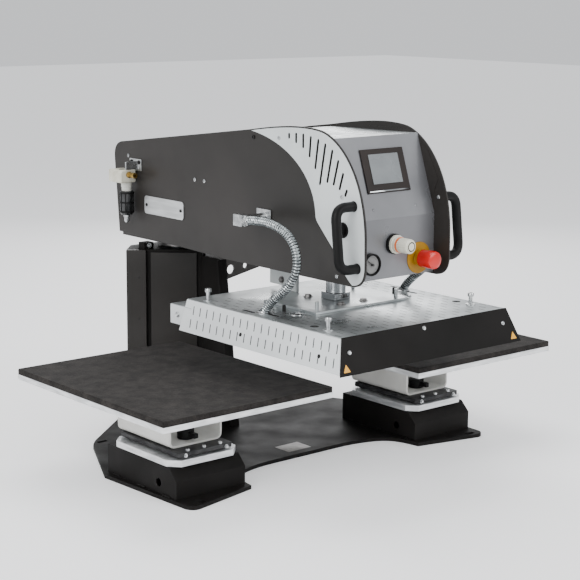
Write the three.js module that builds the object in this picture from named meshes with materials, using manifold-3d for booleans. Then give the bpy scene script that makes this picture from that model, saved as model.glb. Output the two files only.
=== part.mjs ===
// Pneumatic double-station heat press: two fixed lower trays, and a heated platen carried
// by an arm that swings between them on a column. Millimetres, +Z up, -Y is the operator's side.
// The origin is on the floor, on the arm's swing axis.
import * as THREE from "three";
import { mergeVertices } from "three/addons/utils/BufferGeometryUtils.js";
import Module from "manifold-3d";

const wasm = await Module();
wasm.setup();

// ---- driving dimensions -------------------------------------------------------------------
const GAP = 0.3; // clearance between faces that touch
const FIT = 0.5; // clearance round a piece that slides or turns

const SHEET = 3; // folded steel sheet
const BASE_T = 8; // base plate
const STATION_X = 316; // half the distance between the two trays
const STATION_Y = -405; // centre of the trays, in front of the swing axis
const TRAY_W = 400;
const TRAY_D = 500;
const TRAY_T = 11;
const PAD_T = 11;

const FOOT_W = 166;
const FOOT_D = 232;
const FOOT_H = 59;
const FOOT_Y = -415; // centre of the pedestal
const FOOT_BEVEL = 22;
const RISER_T = 13;
const RISER_D = 212;
const CORNER = 21; // cut corners of the riser plate
const CLAMP_T = 9;
const CLAMP_W = 130;
const CLAMP_D = 200;
const CLAMP_CORNER = 4;
const CLAMP_LIFT = 3.5; // the clamp plate stands on its levelling screws
const CHANNEL_W = 126;
const CHANNEL_D = 176;
const CHANNEL_H = 95;
const CHANNEL_T = 4;
const LOCK_R = 17;
const LOCK_REACH = 36;

const COLUMN_H = 381;
const ARM_DATUM = 381; // the arm's heights below are given for a column this tall
const COLUMN_FRONT = -90; // front corner of the column
const COLUMN_HALF = 132;
const COLUMN_SIDE_Y = 21;
const COLUMN_REAR_HALF = 88;
const COLUMN_REAR = 68;
const COVER_T = 4;
const DUCT_W = 44;
const RIB_TOP = 61; // the rib stands this far out at its top
const RIB_FOOT = 108; // and at its foot
const RIB_FLANGE = 24;
const SPINDLE_R = 35;

const ARM_HALF = 112; // outer face of the arm's side plates
const SIDE_T = 3;
const ARM_FRONT = -737; // the side plates' front edge
const ARM_REAR = 92;
const ARM_FLOOR = 412; // underside of the side plates at the front
const ARM_FLOOR_REAR = 423;
const ARM_TOP_REAR = 627;
const ARM_CREST = 705;
const PANEL_Y = -695; // face of the upright part of the control panel
const PANEL_BEND = 533;
const PANEL_TOP = 686;
const PANEL_LEAN = 52; // how far the display part leans back
const HUB_R = 50;
const FLOOR_T = 6;

const HEAD_Y = -542; // centre of the heated platen
const HEAT_W = 400;
const HEAT_D = 500;
const HEAT_T = 22;
const HEAT_Z = 277; // the heated face
const STROKE = 65;
const COVER_HALF = 241;
const COVER_FRONT = -810;
const COVER_REAR = -324;
const COVER_Z = 282;
const COVER_TOP = 344;
const COVER_SLOPE = 21; // how far the front and side walls lean in
const BACKBOX_D = 48;
const BACKBOX_TOP = 328;
const SKIN = 2; // sheet of the heater cover
const ROD_Y = -530;
const ROD_R = 20;
const PRESS_HALF = 122;
const PRESS_D = 160;
const PRESS_T = 5;

const CONDUIT_R = 9;
const CONDUIT_FOOT_X = 187; // where a conduit enters the heater cover
const CONDUIT_FOOT_Y = -530;
const GUIDE_Y = -412; // guide blade: front edge
const GUIDE_W = 86;
const GUIDE_FOOT = 48; // its foot ends ahead of the cover's leaning rear wall
const BLADE_T = 8;

const SPINDLE_DEEP = 120; // spindle below the column's top
const SPINDLE_UP = 56; // and above it
const LUG_H = 14;
const LIFT = 4; // the hub turns this far above the column
const HUB_H = 60;
const HUB_FLANGE = 9;
const FLOOR_Z = 416; // underside of the arm's floor plate
const RIB_T = 5;
const RIB_CLEAR = 16;
const DUCT_PROUD = 6;
const BRACKET_Z = 284;
const BRACKET_L = 130;
const CYLINDER_R = 55;
const CYLINDER_WALL = 5;
const CYLINDER_END = 6;
const PISTON_T = 12;
const CYLINDER_H = STROKE + PISTON_T + 2 * CYLINDER_END + 25;

const SHOULDER_Y = -394; // where the arm's straight top meets its rounded front
const SHOULDER_Z = 686;
const OVERLAY_T = 1;
const HANDLE_R = 9.5;
const HANDLE_REACH = 45;
const HANDLE_Y = -703;
const HANDLE_TOP = 565;
const HANDLE_LOW = 449;
const BUTTON_Y = -674;
const BUTTON_Z = 517;
const BUTTON_OUT = 14;
const BUTTON_IN = 12;
const BUTTON_R = 11;
const DISPLAY_X = 0;
const DISPLAY_Z = 621;
const CONTROL_Z = 449; // gauge and emergency stop
const GAUGE_X = -62;
const GAUGE_R = 21.5;
const GAUGE_OUT = 9;
const NEEDLE_REST = -1.0;
const REGULATOR_X = -2;
const REGULATOR_Z = 483;
const KNOB_OUT = 50;
const STOP_X = 67;
const STOP_COLLAR = 20;
const STOP_TRAVEL = 5;
const NAME_Y0 = -169;
const NAME_Y1 = -26;
const NAME_Z = 495;
const FILTER_Y = 24;
const FILTER_OUT = 26; // air filter: its centre, out from the side plate

// ---- materials ----------------------------------------------------------------------------
const finish = (color, roughness, metalness) =>
  new THREE.MeshStandardMaterial({ color, roughness, metalness });
const blackPaint = finish(0x2b2928, 0.55, 0.1);
const greyPaint = finish(0xc9cdcd, 0.5, 0.1);
const bareAluminium = finish(0xd4d6d6, 0.35, 0.9);
const zincSheet = finish(0xb4babb, 0.4, 0.8);
const panelSteel = finish(0x9a9a9c, 0.45, 0.6);
const foamRubber = finish(0x333231, 0.95, 0);
const blackPlastic = finish(0x1a1a1b, 0.45, 0);
const creamPlastic = finish(0xd9d6c4, 0.4, 0);
const redPlastic = finish(0xd93a2f, 0.3, 0);
const yellowPlastic = finish(0xd8a21c, 0.4, 0);
const screenGlass = finish(0x8a8d8f, 0.2, 0);
const polishedSteel = finish(0xc8cbcc, 0.2, 1);

// ---- geometry helpers ---------------------------------------------------------------------
const press = new THREE.Group();

function solid(geometry) {
  const bare = geometry.index ? geometry.toNonIndexed() : geometry.clone();
  bare.deleteAttribute("normal");
  bare.deleteAttribute("uv");
  const merged = mergeVertices(bare, 1e-3);
  return new wasm.Manifold(
    new wasm.Mesh({
      numProp: 3,
      vertProperties: merged.attributes.position.array,
      triVerts: new Uint32Array(merged.index.array),
    }),
  );
}

function surface(body) {
  const mesh = body.getMesh();
  const geometry = new THREE.BufferGeometry();
  geometry.setAttribute("position", new THREE.BufferAttribute(mesh.vertProperties, 3));
  geometry.setIndex(new THREE.BufferAttribute(mesh.triVerts, 1));
  geometry.computeVertexNormals();
  return geometry;
}

const join = (...parts) => surface(parts.map(solid).reduce((a, b) => a.add(b)));
const cut = (blank, ...tools) =>
  surface(tools.map(solid).reduce((a, b) => a.subtract(b), solid(blank)));

const trim = (blank, keep) => surface(solid(blank).intersect(solid(keep)));

function piece(name, geometry, material) {
  const mesh = new THREE.Mesh(geometry, material);
  mesh.name = name;
  press.add(mesh);
  return mesh;
}

const box = (x0, x1, y0, y1, z0, z1) =>
  new THREE.BoxGeometry(x1 - x0, y1 - y0, z1 - z0).translate(
    (x0 + x1) / 2,
    (y0 + y1) / 2,
    (z0 + z1) / 2,
  );

// A box of a given width and depth, centred on x and y.
const block = (x, y, width, depth, z0, z1) =>
  box(x - width / 2, x + width / 2, y - depth / 2, y + depth / 2, z0, z1);

// Round bars along each axis, from one end to the other.
const barX = (x0, x1, y, z, radius, sides = 20) =>
  new THREE.CylinderGeometry(radius, radius, x1 - x0, sides)
    .rotateZ(Math.PI / 2)
    .translate((x0 + x1) / 2, y, z);
const barY = (x, y0, y1, z, radius, sides = 20) =>
  new THREE.CylinderGeometry(radius, radius, y1 - y0, sides).translate(x, (y0 + y1) / 2, z);
const barZ = (x, y, z0, z1, radius, sides = 20) =>
  new THREE.CylinderGeometry(radius, radius, z1 - z0, sides)
    .rotateX(Math.PI / 2)
    .translate(x, y, (z0 + z1) / 2);

const outline = (points) => new THREE.Shape(points.map(([a, b]) => new THREE.Vector2(a, b)));

// Flat sheets: an outline in X and Y, Y and Z, or X and Z, given a thickness.
function slab(shape, z0, z1) {
  return new THREE.ExtrudeGeometry(shape, {
    depth: z1 - z0,
    bevelEnabled: false,
    curveSegments: 5,
  }).translate(0, 0, z0);
}
function sheetYZ(shape, x0, x1) {
  const geometry = slab(shape, x0, x1);
  return geometry.applyMatrix4(
    new THREE.Matrix4().set(0, 0, 1, 0, 1, 0, 0, 0, 0, 1, 0, 0, 0, 0, 0, 1),
  );
}
function sheetXZ(shape, y0, y1) {
  const geometry = slab(shape, -y1, -y0);
  return geometry.applyMatrix4(
    new THREE.Matrix4().set(1, 0, 0, 0, 0, 0, -1, 0, 0, 1, 0, 0, 0, 0, 0, 1),
  );
}

// A block with its four upright edges cut at 45 degrees.
function cutCornerPlate(x, y, width, depth, corner, z0, z1) {
  const w = width / 2;
  const d = depth / 2;
  const points = [
    [x - w + corner, y - d],
    [x + w - corner, y - d],
    [x + w, y - d + corner],
    [x + w, y + d - corner],
    [x + w - corner, y + d],
    [x - w + corner, y + d],
    [x - w, y + d - corner],
    [x - w, y - d + corner],
  ];
  return slab(outline(points), z0, z1);
}

// A closed block whose side and front walls lean in, and whose rear wall is upright.
function leaningBlock(x0, x1, y0, y1, z0, z1, lean) {
  const corners = [
    [x0, y0, z0],
    [x1, y0, z0],
    [x1, y1, z0],
    [x0, y1, z0],
    [x0 + lean, y0 + lean, z1],
    [x1 - lean, y0 + lean, z1],
    [x1 - lean, y1, z1],
    [x0 + lean, y1, z1],
  ];
  const faces = [0, 2, 1, 0, 3, 2, 4, 5, 6, 4, 6, 7];
  for (let i = 0; i < 4; i++) {
    const j = (i + 1) % 4;
    faces.push(i, j, j + 4, i, j + 4, i + 4);
  }
  const geometry = new THREE.BufferGeometry();
  geometry.setAttribute("position", new THREE.Float32BufferAttribute(corners.flat(), 3));
  geometry.setIndex(faces);
  return geometry;
}

// A closed tube with a round section along a curve.
function tube(points, radius, steps, sides = 8) {
  const ring = new THREE.Shape();
  ring.absarc(0, 0, radius, 0, 2 * Math.PI, false);
  const path = new THREE.CatmullRomCurve3(points.map((p) => new THREE.Vector3(...p)));
  return new THREE.ExtrudeGeometry(ring, {
    steps,
    extrudePath: path,
    curveSegments: sides,
    bevelEnabled: false,
  });
}

// ---- base ---------------------------------------------------------------------------------
// One plate carries both pedestals and the column. It narrows behind the pedestals, and
// its front edge curves back between them. Slotted ears take screws into a bench.
const EAR_SLOT = 24;
const SLOT_W = 11;
const EAR_FRONT = 46; // the front ears reach this far past the pedestals
const BAY_DEPTH = 86; // the front edge curves back this far between them
const footFront = FOOT_Y - FOOT_D / 2;
const footRear = FOOT_Y + FOOT_D / 2;
const footOut = STATION_X + FOOT_W / 2;
const footIn = STATION_X - FOOT_W / 2;
{
  const front = footFront - EAR_FRONT;
  const bay = footFront + BAY_DEPTH;
  const right = [
    [footIn - 4, footFront - 15],
    [footOut - 30, front],
  ];
  const plate = new THREE.Shape();
  plate.moveTo(0, bay);
  plate.lineTo(footIn - 140, bay);
  plate.quadraticCurveTo(footIn - 90, bay, footIn - 50, bay - 16);
  plate.quadraticCurveTo(footIn - 16, bay - 28, footIn - 8, footFront + 12);
  plate.lineTo(...right[0]);
  plate.lineTo(...right[1]);
  plate.quadraticCurveTo(footOut - 4, front - 8, footOut + 2, front + 14);
  plate.lineTo(footOut + 15, footRear - 10);
  plate.lineTo(footOut - 76, footRear + 172);
  plate.quadraticCurveTo(footOut - 92, footRear + 196, footOut - 118, footRear + 216);
  plate.lineTo(COLUMN_HALF + 12, footRear + 330);
  plate.lineTo(COLUMN_REAR_HALF, COLUMN_REAR + 42);
  plate.lineTo(0, COLUMN_REAR + 42);
  plate.closePath();
  const half = solid(slab(plate, 0, BASE_T));
  const whole = surface(half.add(half.mirror([1, 0, 0])));
  const slots = [];
  for (const side of [-1, 1]) {
    slots.push(block(side * (footOut - 107), footRear + 184, EAR_SLOT, SLOT_W, -1, BASE_T + 1));
    slots.push(block(side * (footOut - 30), front + 12, EAR_SLOT, SLOT_W, -1, BASE_T + 1));
  }
  piece("base_plate", cut(whole, ...slots), blackPaint);
}

// ---- pedestals and trays ------------------------------------------------------------------
const footBase = BASE_T + GAP;
const footTop = footBase + FOOT_H;
const riserTop = footTop + GAP + RISER_T;
const clampBase = riserTop + CLAMP_LIFT;
const clampTop = clampBase + CLAMP_T;
const channelBase = clampTop + GAP;
const channelTop = channelBase + CHANNEL_H;
const trayBase = channelTop + GAP;
const trayTop = trayBase + TRAY_T;
const padTop = trayTop + GAP + PAD_T;

function footProfile(inset) {
  const y0 = footFront + inset;
  const y1 = footRear - inset;
  const z1 = footTop - inset;
  return outline([
    [y0, footBase - (inset ? 1 : 0)],
    [y1, footBase - (inset ? 1 : 0)],
    [y1, z1],
    [y0 + FOOT_BEVEL, z1],
    [y0, z1 - FOOT_BEVEL],
  ]);
}

function station(side, label) {
  const x = side * STATION_X;
  const half = FOOT_W / 2;
  const shell = sheetYZ(footProfile(0), x - half, x + half);
  const hollow = sheetYZ(footProfile(SHEET), x - half + SHEET, x + half - SHEET);
  const cableHole = barX(x - half - 1, x + half + 1, footFront + 58, footBase + 22, 8.5, 16);
  piece(label + "_pedestal", cut(shell, hollow, cableHole), blackPaint);

  piece(
    label + "_riser_plate",
    cutCornerPlate(x, FOOT_Y, FOOT_W, RISER_D, CORNER, footTop + GAP, riserTop),
    bareAluminium,
  );

  // The levelling screws stand under the clamp plate's corners and are one piece with it.
  const clampPlate = cutCornerPlate(x, FOOT_Y, CLAMP_W, CLAMP_D, CLAMP_CORNER, clampBase, clampTop);
  const screws = [-1, 1].flatMap((i) =>
    [-1, 1].map((j) =>
      barZ(
        x + i * (CLAMP_W / 2 - 10),
        FOOT_Y + j * (CLAMP_D / 2 - 20),
        riserTop + GAP,
        clampBase + 1,
        5,
        10,
      ),
    ),
  );
  piece(label + "_clamp_plate", join(clampPlate, ...screws), panelSteel);

  // The channel is open along its length, so the tray lifts off with it.
  const w = CHANNEL_W / 2;
  const r = 14;
  const u = new THREE.Shape();
  u.moveTo(x - w, channelTop);
  u.lineTo(x - w, channelBase + r);
  u.quadraticCurveTo(x - w, channelBase, x - w + r, channelBase);
  u.lineTo(x + w - r, channelBase);
  u.quadraticCurveTo(x + w, channelBase, x + w, channelBase + r);
  u.lineTo(x + w, channelTop);
  u.lineTo(x + w - CHANNEL_T, channelTop);
  u.lineTo(x + w - CHANNEL_T, channelBase + r);
  u.lineTo(x + w - r, channelBase + CHANNEL_T);
  u.lineTo(x - w + r, channelBase + CHANNEL_T);
  u.lineTo(x - w + CHANNEL_T, channelBase + r);
  u.lineTo(x - w + CHANNEL_T, channelTop);
  u.closePath();
  const y0 = FOOT_Y - CLAMP_D / 2 + 33;
  piece(label + "_tray_channel", sheetXZ(u, y0, y0 + CHANNEL_D), greyPaint);

  // Quarter-turn lock that holds the channel down on the clamp plate.
  const lockZ = channelBase + CHANNEL_T + FIT;
  const lockY = y0 + 34;
  const lever = join(
    barZ(x, lockY, lockZ, lockZ + 20, LOCK_R, 20),
    box(x - 5, x + 5, lockY - LOCK_REACH, lockY, lockZ + 6, lockZ + 16),
  );
  piece(label + "_tray_lock", lever, blackPlastic);

  piece(
    label + "_tray",
    block(x, STATION_Y, TRAY_W, TRAY_D, trayBase, trayTop),
    bareAluminium,
  );
  piece(
    label + "_tray_pad",
    block(x, STATION_Y, TRAY_W, TRAY_D, trayTop + GAP, padTop),
    foamRubber,
  );
}
station(-1, "left");
station(1, "right");

// ---- column -------------------------------------------------------------------------------
// A welded post with a V-shaped front, closed by two cover sheets, with a cable duct on its
// left corner and a flanged rib down its front corner.
const columnBase = BASE_T + GAP;
const columnTop = columnBase + COLUMN_H;
const faceLength = Math.hypot(COLUMN_HALF, COLUMN_SIDE_Y - COLUMN_FRONT);
const faceX = COLUMN_HALF / faceLength;
const faceY = (COLUMN_SIDE_Y - COLUMN_FRONT) / faceLength;

// A point on a front face: side is -1 or 1, along is the distance out from the front corner,
// and deep is the distance in behind the face.
const onFace = (side, along, deep) => [
  side * (along * faceX - deep * faceY),
  COLUMN_FRONT + along * faceY + deep * faceX,
];
const facePiece = (side, from, to, deep0, deep1, z0, z1) =>
  slab(
    outline([
      onFace(side, from, deep0),
      onFace(side, to, deep0),
      onFace(side, to, deep1),
      onFace(side, from, deep1),
    ]),
    z0,
    z1,
  );
{
  const inset = COVER_T + GAP;
  const sideCorner = onFace(1, faceLength, inset);
  const profile = outline([
    [0, COLUMN_FRONT + inset / faceX],
    sideCorner,
    [COLUMN_REAR_HALF, COLUMN_REAR],
    [-COLUMN_REAR_HALF, COLUMN_REAR],
    [-sideCorner[0], sideCorner[1]],
  ]);
  const post = slab(profile, columnBase, columnTop);
  const bore = barZ(0, 0, columnTop - SPINDLE_DEEP, columnTop + 1, SPINDLE_R + FIT, 32);
  // A stop lug on the top plate limits the arm's swing.
  const [lugX, lugY] = onFace(-1, faceLength - 42, inset + 20);
  const lug = block(lugX, lugY, 26, 22, columnTop - 1, columnTop + LUG_H);
  piece("column_post", join(cut(post, bore), lug), blackPaint);

  const coverTop = columnTop - 6;
  const ductFrom = faceLength - DUCT_W;
  piece(
    "column_right_cover",
    facePiece(1, RIB_CLEAR, faceLength - 2, 0, COVER_T, columnBase, coverTop),
    blackPaint,
  );
  piece(
    "column_left_cover",
    facePiece(-1, RIB_CLEAR, ductFrom - 10, 0, COVER_T, columnBase, coverTop),
    blackPaint,
  );
  piece(
    "column_cable_duct",
    facePiece(-1, ductFrom, faceLength, -DUCT_PROUD, COVER_T, columnBase, columnTop),
    blackPaint,
  );

  // Rib: a web down the front corner with a flange along its sloping edge.
  const z0 = columnBase;
  const z1 = columnTop - 12;
  const back = COLUMN_FRONT + inset / faceX - GAP;
  const top = COLUMN_FRONT - RIB_TOP;
  const foot = COLUMN_FRONT - RIB_FOOT;
  const web = sheetYZ(
    outline([
      [foot - 2, z0],
      [back, z0],
      [back, z1],
      [top - 2, z1],
    ]),
    -RIB_T / 2,
    RIB_T / 2,
  );
  const flange = sheetYZ(
    outline([
      [foot - RIB_T, z0],
      [foot, z0],
      [top, z1],
      [top - RIB_T, z1],
    ]),
    -RIB_FLANGE / 2,
    RIB_FLANGE / 2,
  );
  piece("column_rib", join(web, flange), blackPaint);

  // Bracket on the column's right corner, lightened with holes that shrink towards its tip.
  const b0 = COLUMN_HALF + 1;
  const bracketY = COLUMN_SIDE_Y + 4;
  const bracket = sheetXZ(
    outline([
      [b0, BRACKET_Z],
      [b0 + BRACKET_L, BRACKET_Z + 26],
      [b0 + BRACKET_L, columnTop - 22],
      [b0, columnTop - 22],
    ]),
    bracketY,
    bracketY + 6,
  );
  const holes = [
    [b0 + 33, BRACKET_Z + 27, 11],
    [b0 + 77, BRACKET_Z + 32, 7],
    [b0 + 108, BRACKET_Z + 44, 5],
  ].map(([x, z, r]) => barY(x, bracketY - 1, bracketY + 7, z, r, 20));
  piece("column_side_bracket", cut(bracket, ...holes), blackPaint);

  piece(
    "swing_spindle",
    barZ(0, 0, columnTop - SPINDLE_DEEP + GAP, columnTop + SPINDLE_UP, SPINDLE_R, 32),
    polishedSteel,
  );
}

// ---- arm ----------------------------------------------------------------------------------
// All that is built from here on rides on the arm, and a taller column lifts it.
const firstOnArm = press.children.length;
const datumTop = columnBase + ARM_DATUM;

const armTopAt = (y) =>
  ARM_TOP_REAR + ((ARM_REAR - 37 - y) / (ARM_REAR - 37 - SHOULDER_Y)) * (SHOULDER_Z - ARM_TOP_REAR);

// Outline of a side plate in Y and Z. The inset shrinks its front part, for the grey overlay.
function sidePlateShape() {
  const s = new THREE.Shape();
  s.moveTo(ARM_REAR - 16, ARM_FLOOR_REAR);
  s.lineTo(ARM_REAR, ARM_TOP_REAR - 34);
  s.quadraticCurveTo(ARM_REAR, ARM_TOP_REAR - 2, ARM_REAR - 37, ARM_TOP_REAR);
  s.lineTo(SHOULDER_Y, SHOULDER_Z);
  frontCurve(s, 0);
  s.lineTo(-315, ARM_FLOOR);
  s.lineTo(-121, ARM_FLOOR + 6);
  s.closePath();
  return s;
}

// The crest, nose and chin of the arm, from the shoulder to the floor.
function frontCurve(s, inset) {
  const nose = ARM_FRONT + inset;
  s.bezierCurveTo(-480, ARM_CREST - inset - 5, -560, ARM_CREST + 3 - inset, -612, ARM_CREST - 7 - inset);
  s.bezierCurveTo(-664, ARM_CREST - 20 - inset, nose + 6, 622, nose + 1, 507);
  s.lineTo(nose, 452);
  s.quadraticCurveTo(nose, ARM_FLOOR + 3 + inset, -702, ARM_FLOOR + inset);
}

// The grey overlay's rear edge sweeps down from the shoulder, then forward to the chin.
function overlayShape() {
  const s = new THREE.Shape();
  s.moveTo(SHOULDER_Y - 4, SHOULDER_Z - 2);
  frontCurve(s, 3);
  s.quadraticCurveTo(-678, 430, -646, 478);
  s.lineTo(-602, 522);
  s.quadraticCurveTo(-596, 528, -595, 537);
  s.bezierCurveTo(-590, 607, -520, 668, SHOULDER_Y - 4, SHOULDER_Z - 2);
  return s;
}

// Vent slots fan across the overlay. Each is given by its top end and its lower end.
const VENTS = [
  [-515, 685, -515, 679],
  [-536, 687, -536, 672],
  [-557, 687, -557, 664],
  [-579, 684, -576, 648],
  [-601, 680, -593, 627],
  [-621, 673, -607, 598],
  [-641, 663, -628, 604],
  [-658, 645, -646, 601],
  [-672, 622, -663, 594],
  [-683, 592, -679, 583],
];
const VENT_W = 4;
const vents = (x0, x1) =>
  VENTS.map(([y0, z0, y1, z1]) => {
    const w = VENT_W / 2;
    const shape = outline([
      [y0 - w, z0],
      [y0, z0 + w],
      [y0 + w, z0],
      [y1 + w, z1],
      [y1, z1 - w],
      [y1 - w, z1],
    ]);
    return sheetYZ(shape, x0, x1);
  });

for (const side of [-1, 1]) {
  const label = side < 0 ? "left" : "right";
  const outer = side * ARM_HALF;
  const inner = side * (ARM_HALF - SIDE_T);
  const span = (a, b) => [Math.min(a, b), Math.max(a, b)];
  const [x0, x1] = span(outer, inner);
  const plate = sheetYZ(sidePlateShape(), x0, x1);
  const buttonHole = (a, b) => barX(a - 1, b + 1, BUTTON_Y, BUTTON_Z, BUTTON_R + FIT, 24);
  piece(
    label + "_side_plate",
    cut(plate, ...vents(x0 - 1, x1 + 1), buttonHole(x0, x1)),
    blackPaint,
  );

  const [o0, o1] = span(outer + side * GAP, outer + side * (GAP + OVERLAY_T));
  const overlay = sheetYZ(overlayShape(), o0, o1);
  piece(
    label + "_side_overlay",
    cut(overlay, ...vents(o0 - 1, o1 + 1), buttonHole(o0, o1)),
    greyPaint,
  );

  // Handle: a bent bar on two feet, beside the arm's front edge.
  const hx = outer + side * (GAP + OVERLAY_T + GAP);
  const bend = 18;
  const reach = side * HANDLE_REACH;
  const from = (z) => [hx, HANDLE_Y, z];
  const path = new THREE.CurvePath();
  const v = (x, y, z) => new THREE.Vector3(x, y, z);
  const zt = HANDLE_TOP;
  const zb = HANDLE_LOW;
  const yb = HANDLE_Y - 12;
  path.add(new THREE.LineCurve3(v(...from(zt)), v(hx + reach - side * bend, HANDLE_Y, zt)));
  path.add(
    new THREE.QuadraticBezierCurve3(
      v(hx + reach - side * bend, HANDLE_Y, zt),
      v(hx + reach, HANDLE_Y, zt),
      v(hx + reach, HANDLE_Y - 2, zt - bend),
    ),
  );
  path.add(new THREE.LineCurve3(v(hx + reach, HANDLE_Y - 2, zt - bend), v(hx + reach, yb + 2, zb + bend)));
  path.add(
    new THREE.QuadraticBezierCurve3(
      v(hx + reach, yb + 2, zb + bend),
      v(hx + reach, yb, zb),
      v(hx + reach - side * bend, yb, zb),
    ),
  );
  path.add(new THREE.LineCurve3(v(hx + reach - side * bend, yb, zb), v(hx, yb, zb)));
  const ring = new THREE.Shape();
  ring.absarc(0, 0, HANDLE_R, 0, 2 * Math.PI, false);
  const bar = new THREE.ExtrudeGeometry(ring, {
    steps: 30,
    extrudePath: path,
    curveSegments: 6,
    bevelEnabled: false,
  });
  piece(label + "_handle", bar, blackPlastic);

  // Start button, inside the handle, pushed in by the thumb.
  const [s0, s1] = span(inner - side * BUTTON_IN, hx + side * BUTTON_OUT);
  piece(label + "_start_button", barX(s0, s1, BUTTON_Y, BUTTON_Z, BUTTON_R, 24), blackPlastic);
}

// Floor, top and back sheets between the side plates.
const innerHalf = ARM_HALF - SIDE_T - GAP;
{
  const floorY1 = ARM_REAR - 24;
  const floorSheet = box(-innerHalf, innerHalf, -690, floorY1, FLOOR_Z, FLOOR_Z + FLOOR_T);
  const rodHole = barZ(0, ROD_Y, FLOOR_Z - 1, FLOOR_Z + FLOOR_T + 1, ROD_R + 6, 24);
  const hubHole = barZ(0, 0, FLOOR_Z - 1, FLOOR_Z + FLOOR_T + 1, HUB_R + GAP, 32);
  const bladeSlot = box(
    -BLADE_T / 2 - FIT,
    BLADE_T / 2 + FIT,
    GUIDE_Y - FIT,
    GUIDE_Y + GUIDE_W + FIT,
    FLOOR_Z - 1,
    FLOOR_Z + FLOOR_T + 1,
  );
  piece("arm_floor", cut(floorSheet, rodHole, hubHole, bladeSlot), blackPaint);

  // The hub turns on the spindle's top; its roof rests on the spindle.
  const hubTop = FLOOR_Z + HUB_H;
  const hub = cut(
    join(
      barZ(0, 0, datumTop + LIFT, hubTop, HUB_R, 32),
      barZ(0, 0, FLOOR_Z + FLOOR_T + GAP, FLOOR_Z + FLOOR_T + 8, HUB_R + HUB_FLANGE, 32),
    ),
    barZ(0, 0, datumTop + LIFT - 1, datumTop + SPINDLE_UP + GAP, SPINDLE_R + FIT, 32),
  );
  piece("arm_hub", hub, panelSteel);

  // Top: a dark sheet over the rear, folded down the back, and a vented light sheet in front.
  const joint = SHOULDER_Y;
  const t = SHEET - 1;
  const drop = 5;
  const rear = outline([
    [joint + 0.5, armTopAt(joint) - drop],
    [joint + 0.5, armTopAt(joint) - drop - t],
    [ARM_REAR - 44, ARM_TOP_REAR - drop - t],
    [ARM_REAR - 12 - t, ARM_TOP_REAR - 38],
    [ARM_REAR - 28 - t, ARM_FLOOR_REAR + 4],
    [ARM_REAR - 28, ARM_FLOOR_REAR + 4],
    [ARM_REAR - 12, ARM_TOP_REAR - 37],
    [ARM_REAR - 43, ARM_TOP_REAR - drop],
  ]);
  piece("arm_rear_cover", sheetYZ(rear, -innerHalf, innerHalf), blackPaint);

  const topY = PANEL_Y + PANEL_LEAN;
  const grille = sheetYZ(
    outline([
      [topY + t + GAP, PANEL_TOP],
      [topY + t + GAP, PANEL_TOP - t],
      [joint - 0.5, SHOULDER_Z - drop - t],
      [joint - 0.5, SHOULDER_Z - drop],
    ]),
    -innerHalf,
    innerHalf,
  );
  const slots = [];
  for (let row = 0; row < 5; row++)
    for (let column = 0; column < 5; column++) {
      const x = (column - 2) * 36 + (row % 2 ? 9 : -9);
      const y = topY + 40 + row * 36;
      slots.push(block(x, y, 24, 4, PANEL_TOP - 30, PANEL_TOP + 30));
    }
  piece("arm_top_grille", cut(grille, ...slots), zincSheet);
}

// ---- control panel ------------------------------------------------------------------------
const leanAngle = Math.atan2(PANEL_LEAN, PANEL_TOP - PANEL_BEND);
{
  const t = SHEET - 1;
  const topY = PANEL_Y + PANEL_LEAN;
  const sheet = sheetYZ(
    outline([
      [PANEL_Y, FLOOR_Z + 1],
      [PANEL_Y + t, FLOOR_Z + 1],
      [PANEL_Y + t, PANEL_BEND - 0.5],
      [topY + t, PANEL_TOP],
      [topY, PANEL_TOP],
      [PANEL_Y, PANEL_BEND],
    ]),
    -innerHalf,
    innerHalf,
  );
  piece("control_panel", sheet, panelSteel);
}

// A box on the leaning part of the panel: centred on x, at a height, standing off the face.
function onDisplay(name, x, z, width, height, off0, off1, material) {
  const geometry = new THREE.BoxGeometry(width, off1 - off0, height);
  const mesh = piece(name, geometry, material);
  const faceYAt = PANEL_Y + ((z - PANEL_BEND) / (PANEL_TOP - PANEL_BEND)) * PANEL_LEAN;
  const out = (off0 + off1) / 2;
  mesh.rotation.x = -leanAngle;
  mesh.position.set(x, faceYAt - out * Math.cos(leanAngle), z + out * Math.sin(leanAngle));
}
onDisplay("display_bezel", DISPLAY_X, DISPLAY_Z, 112, 86, GAP, GAP + 3, blackPlastic);
onDisplay("display_screen", DISPLAY_X, DISPLAY_Z + 3, 77, 58, GAP * 2 + 3, GAP * 2 + 4, screenGlass);

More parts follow.
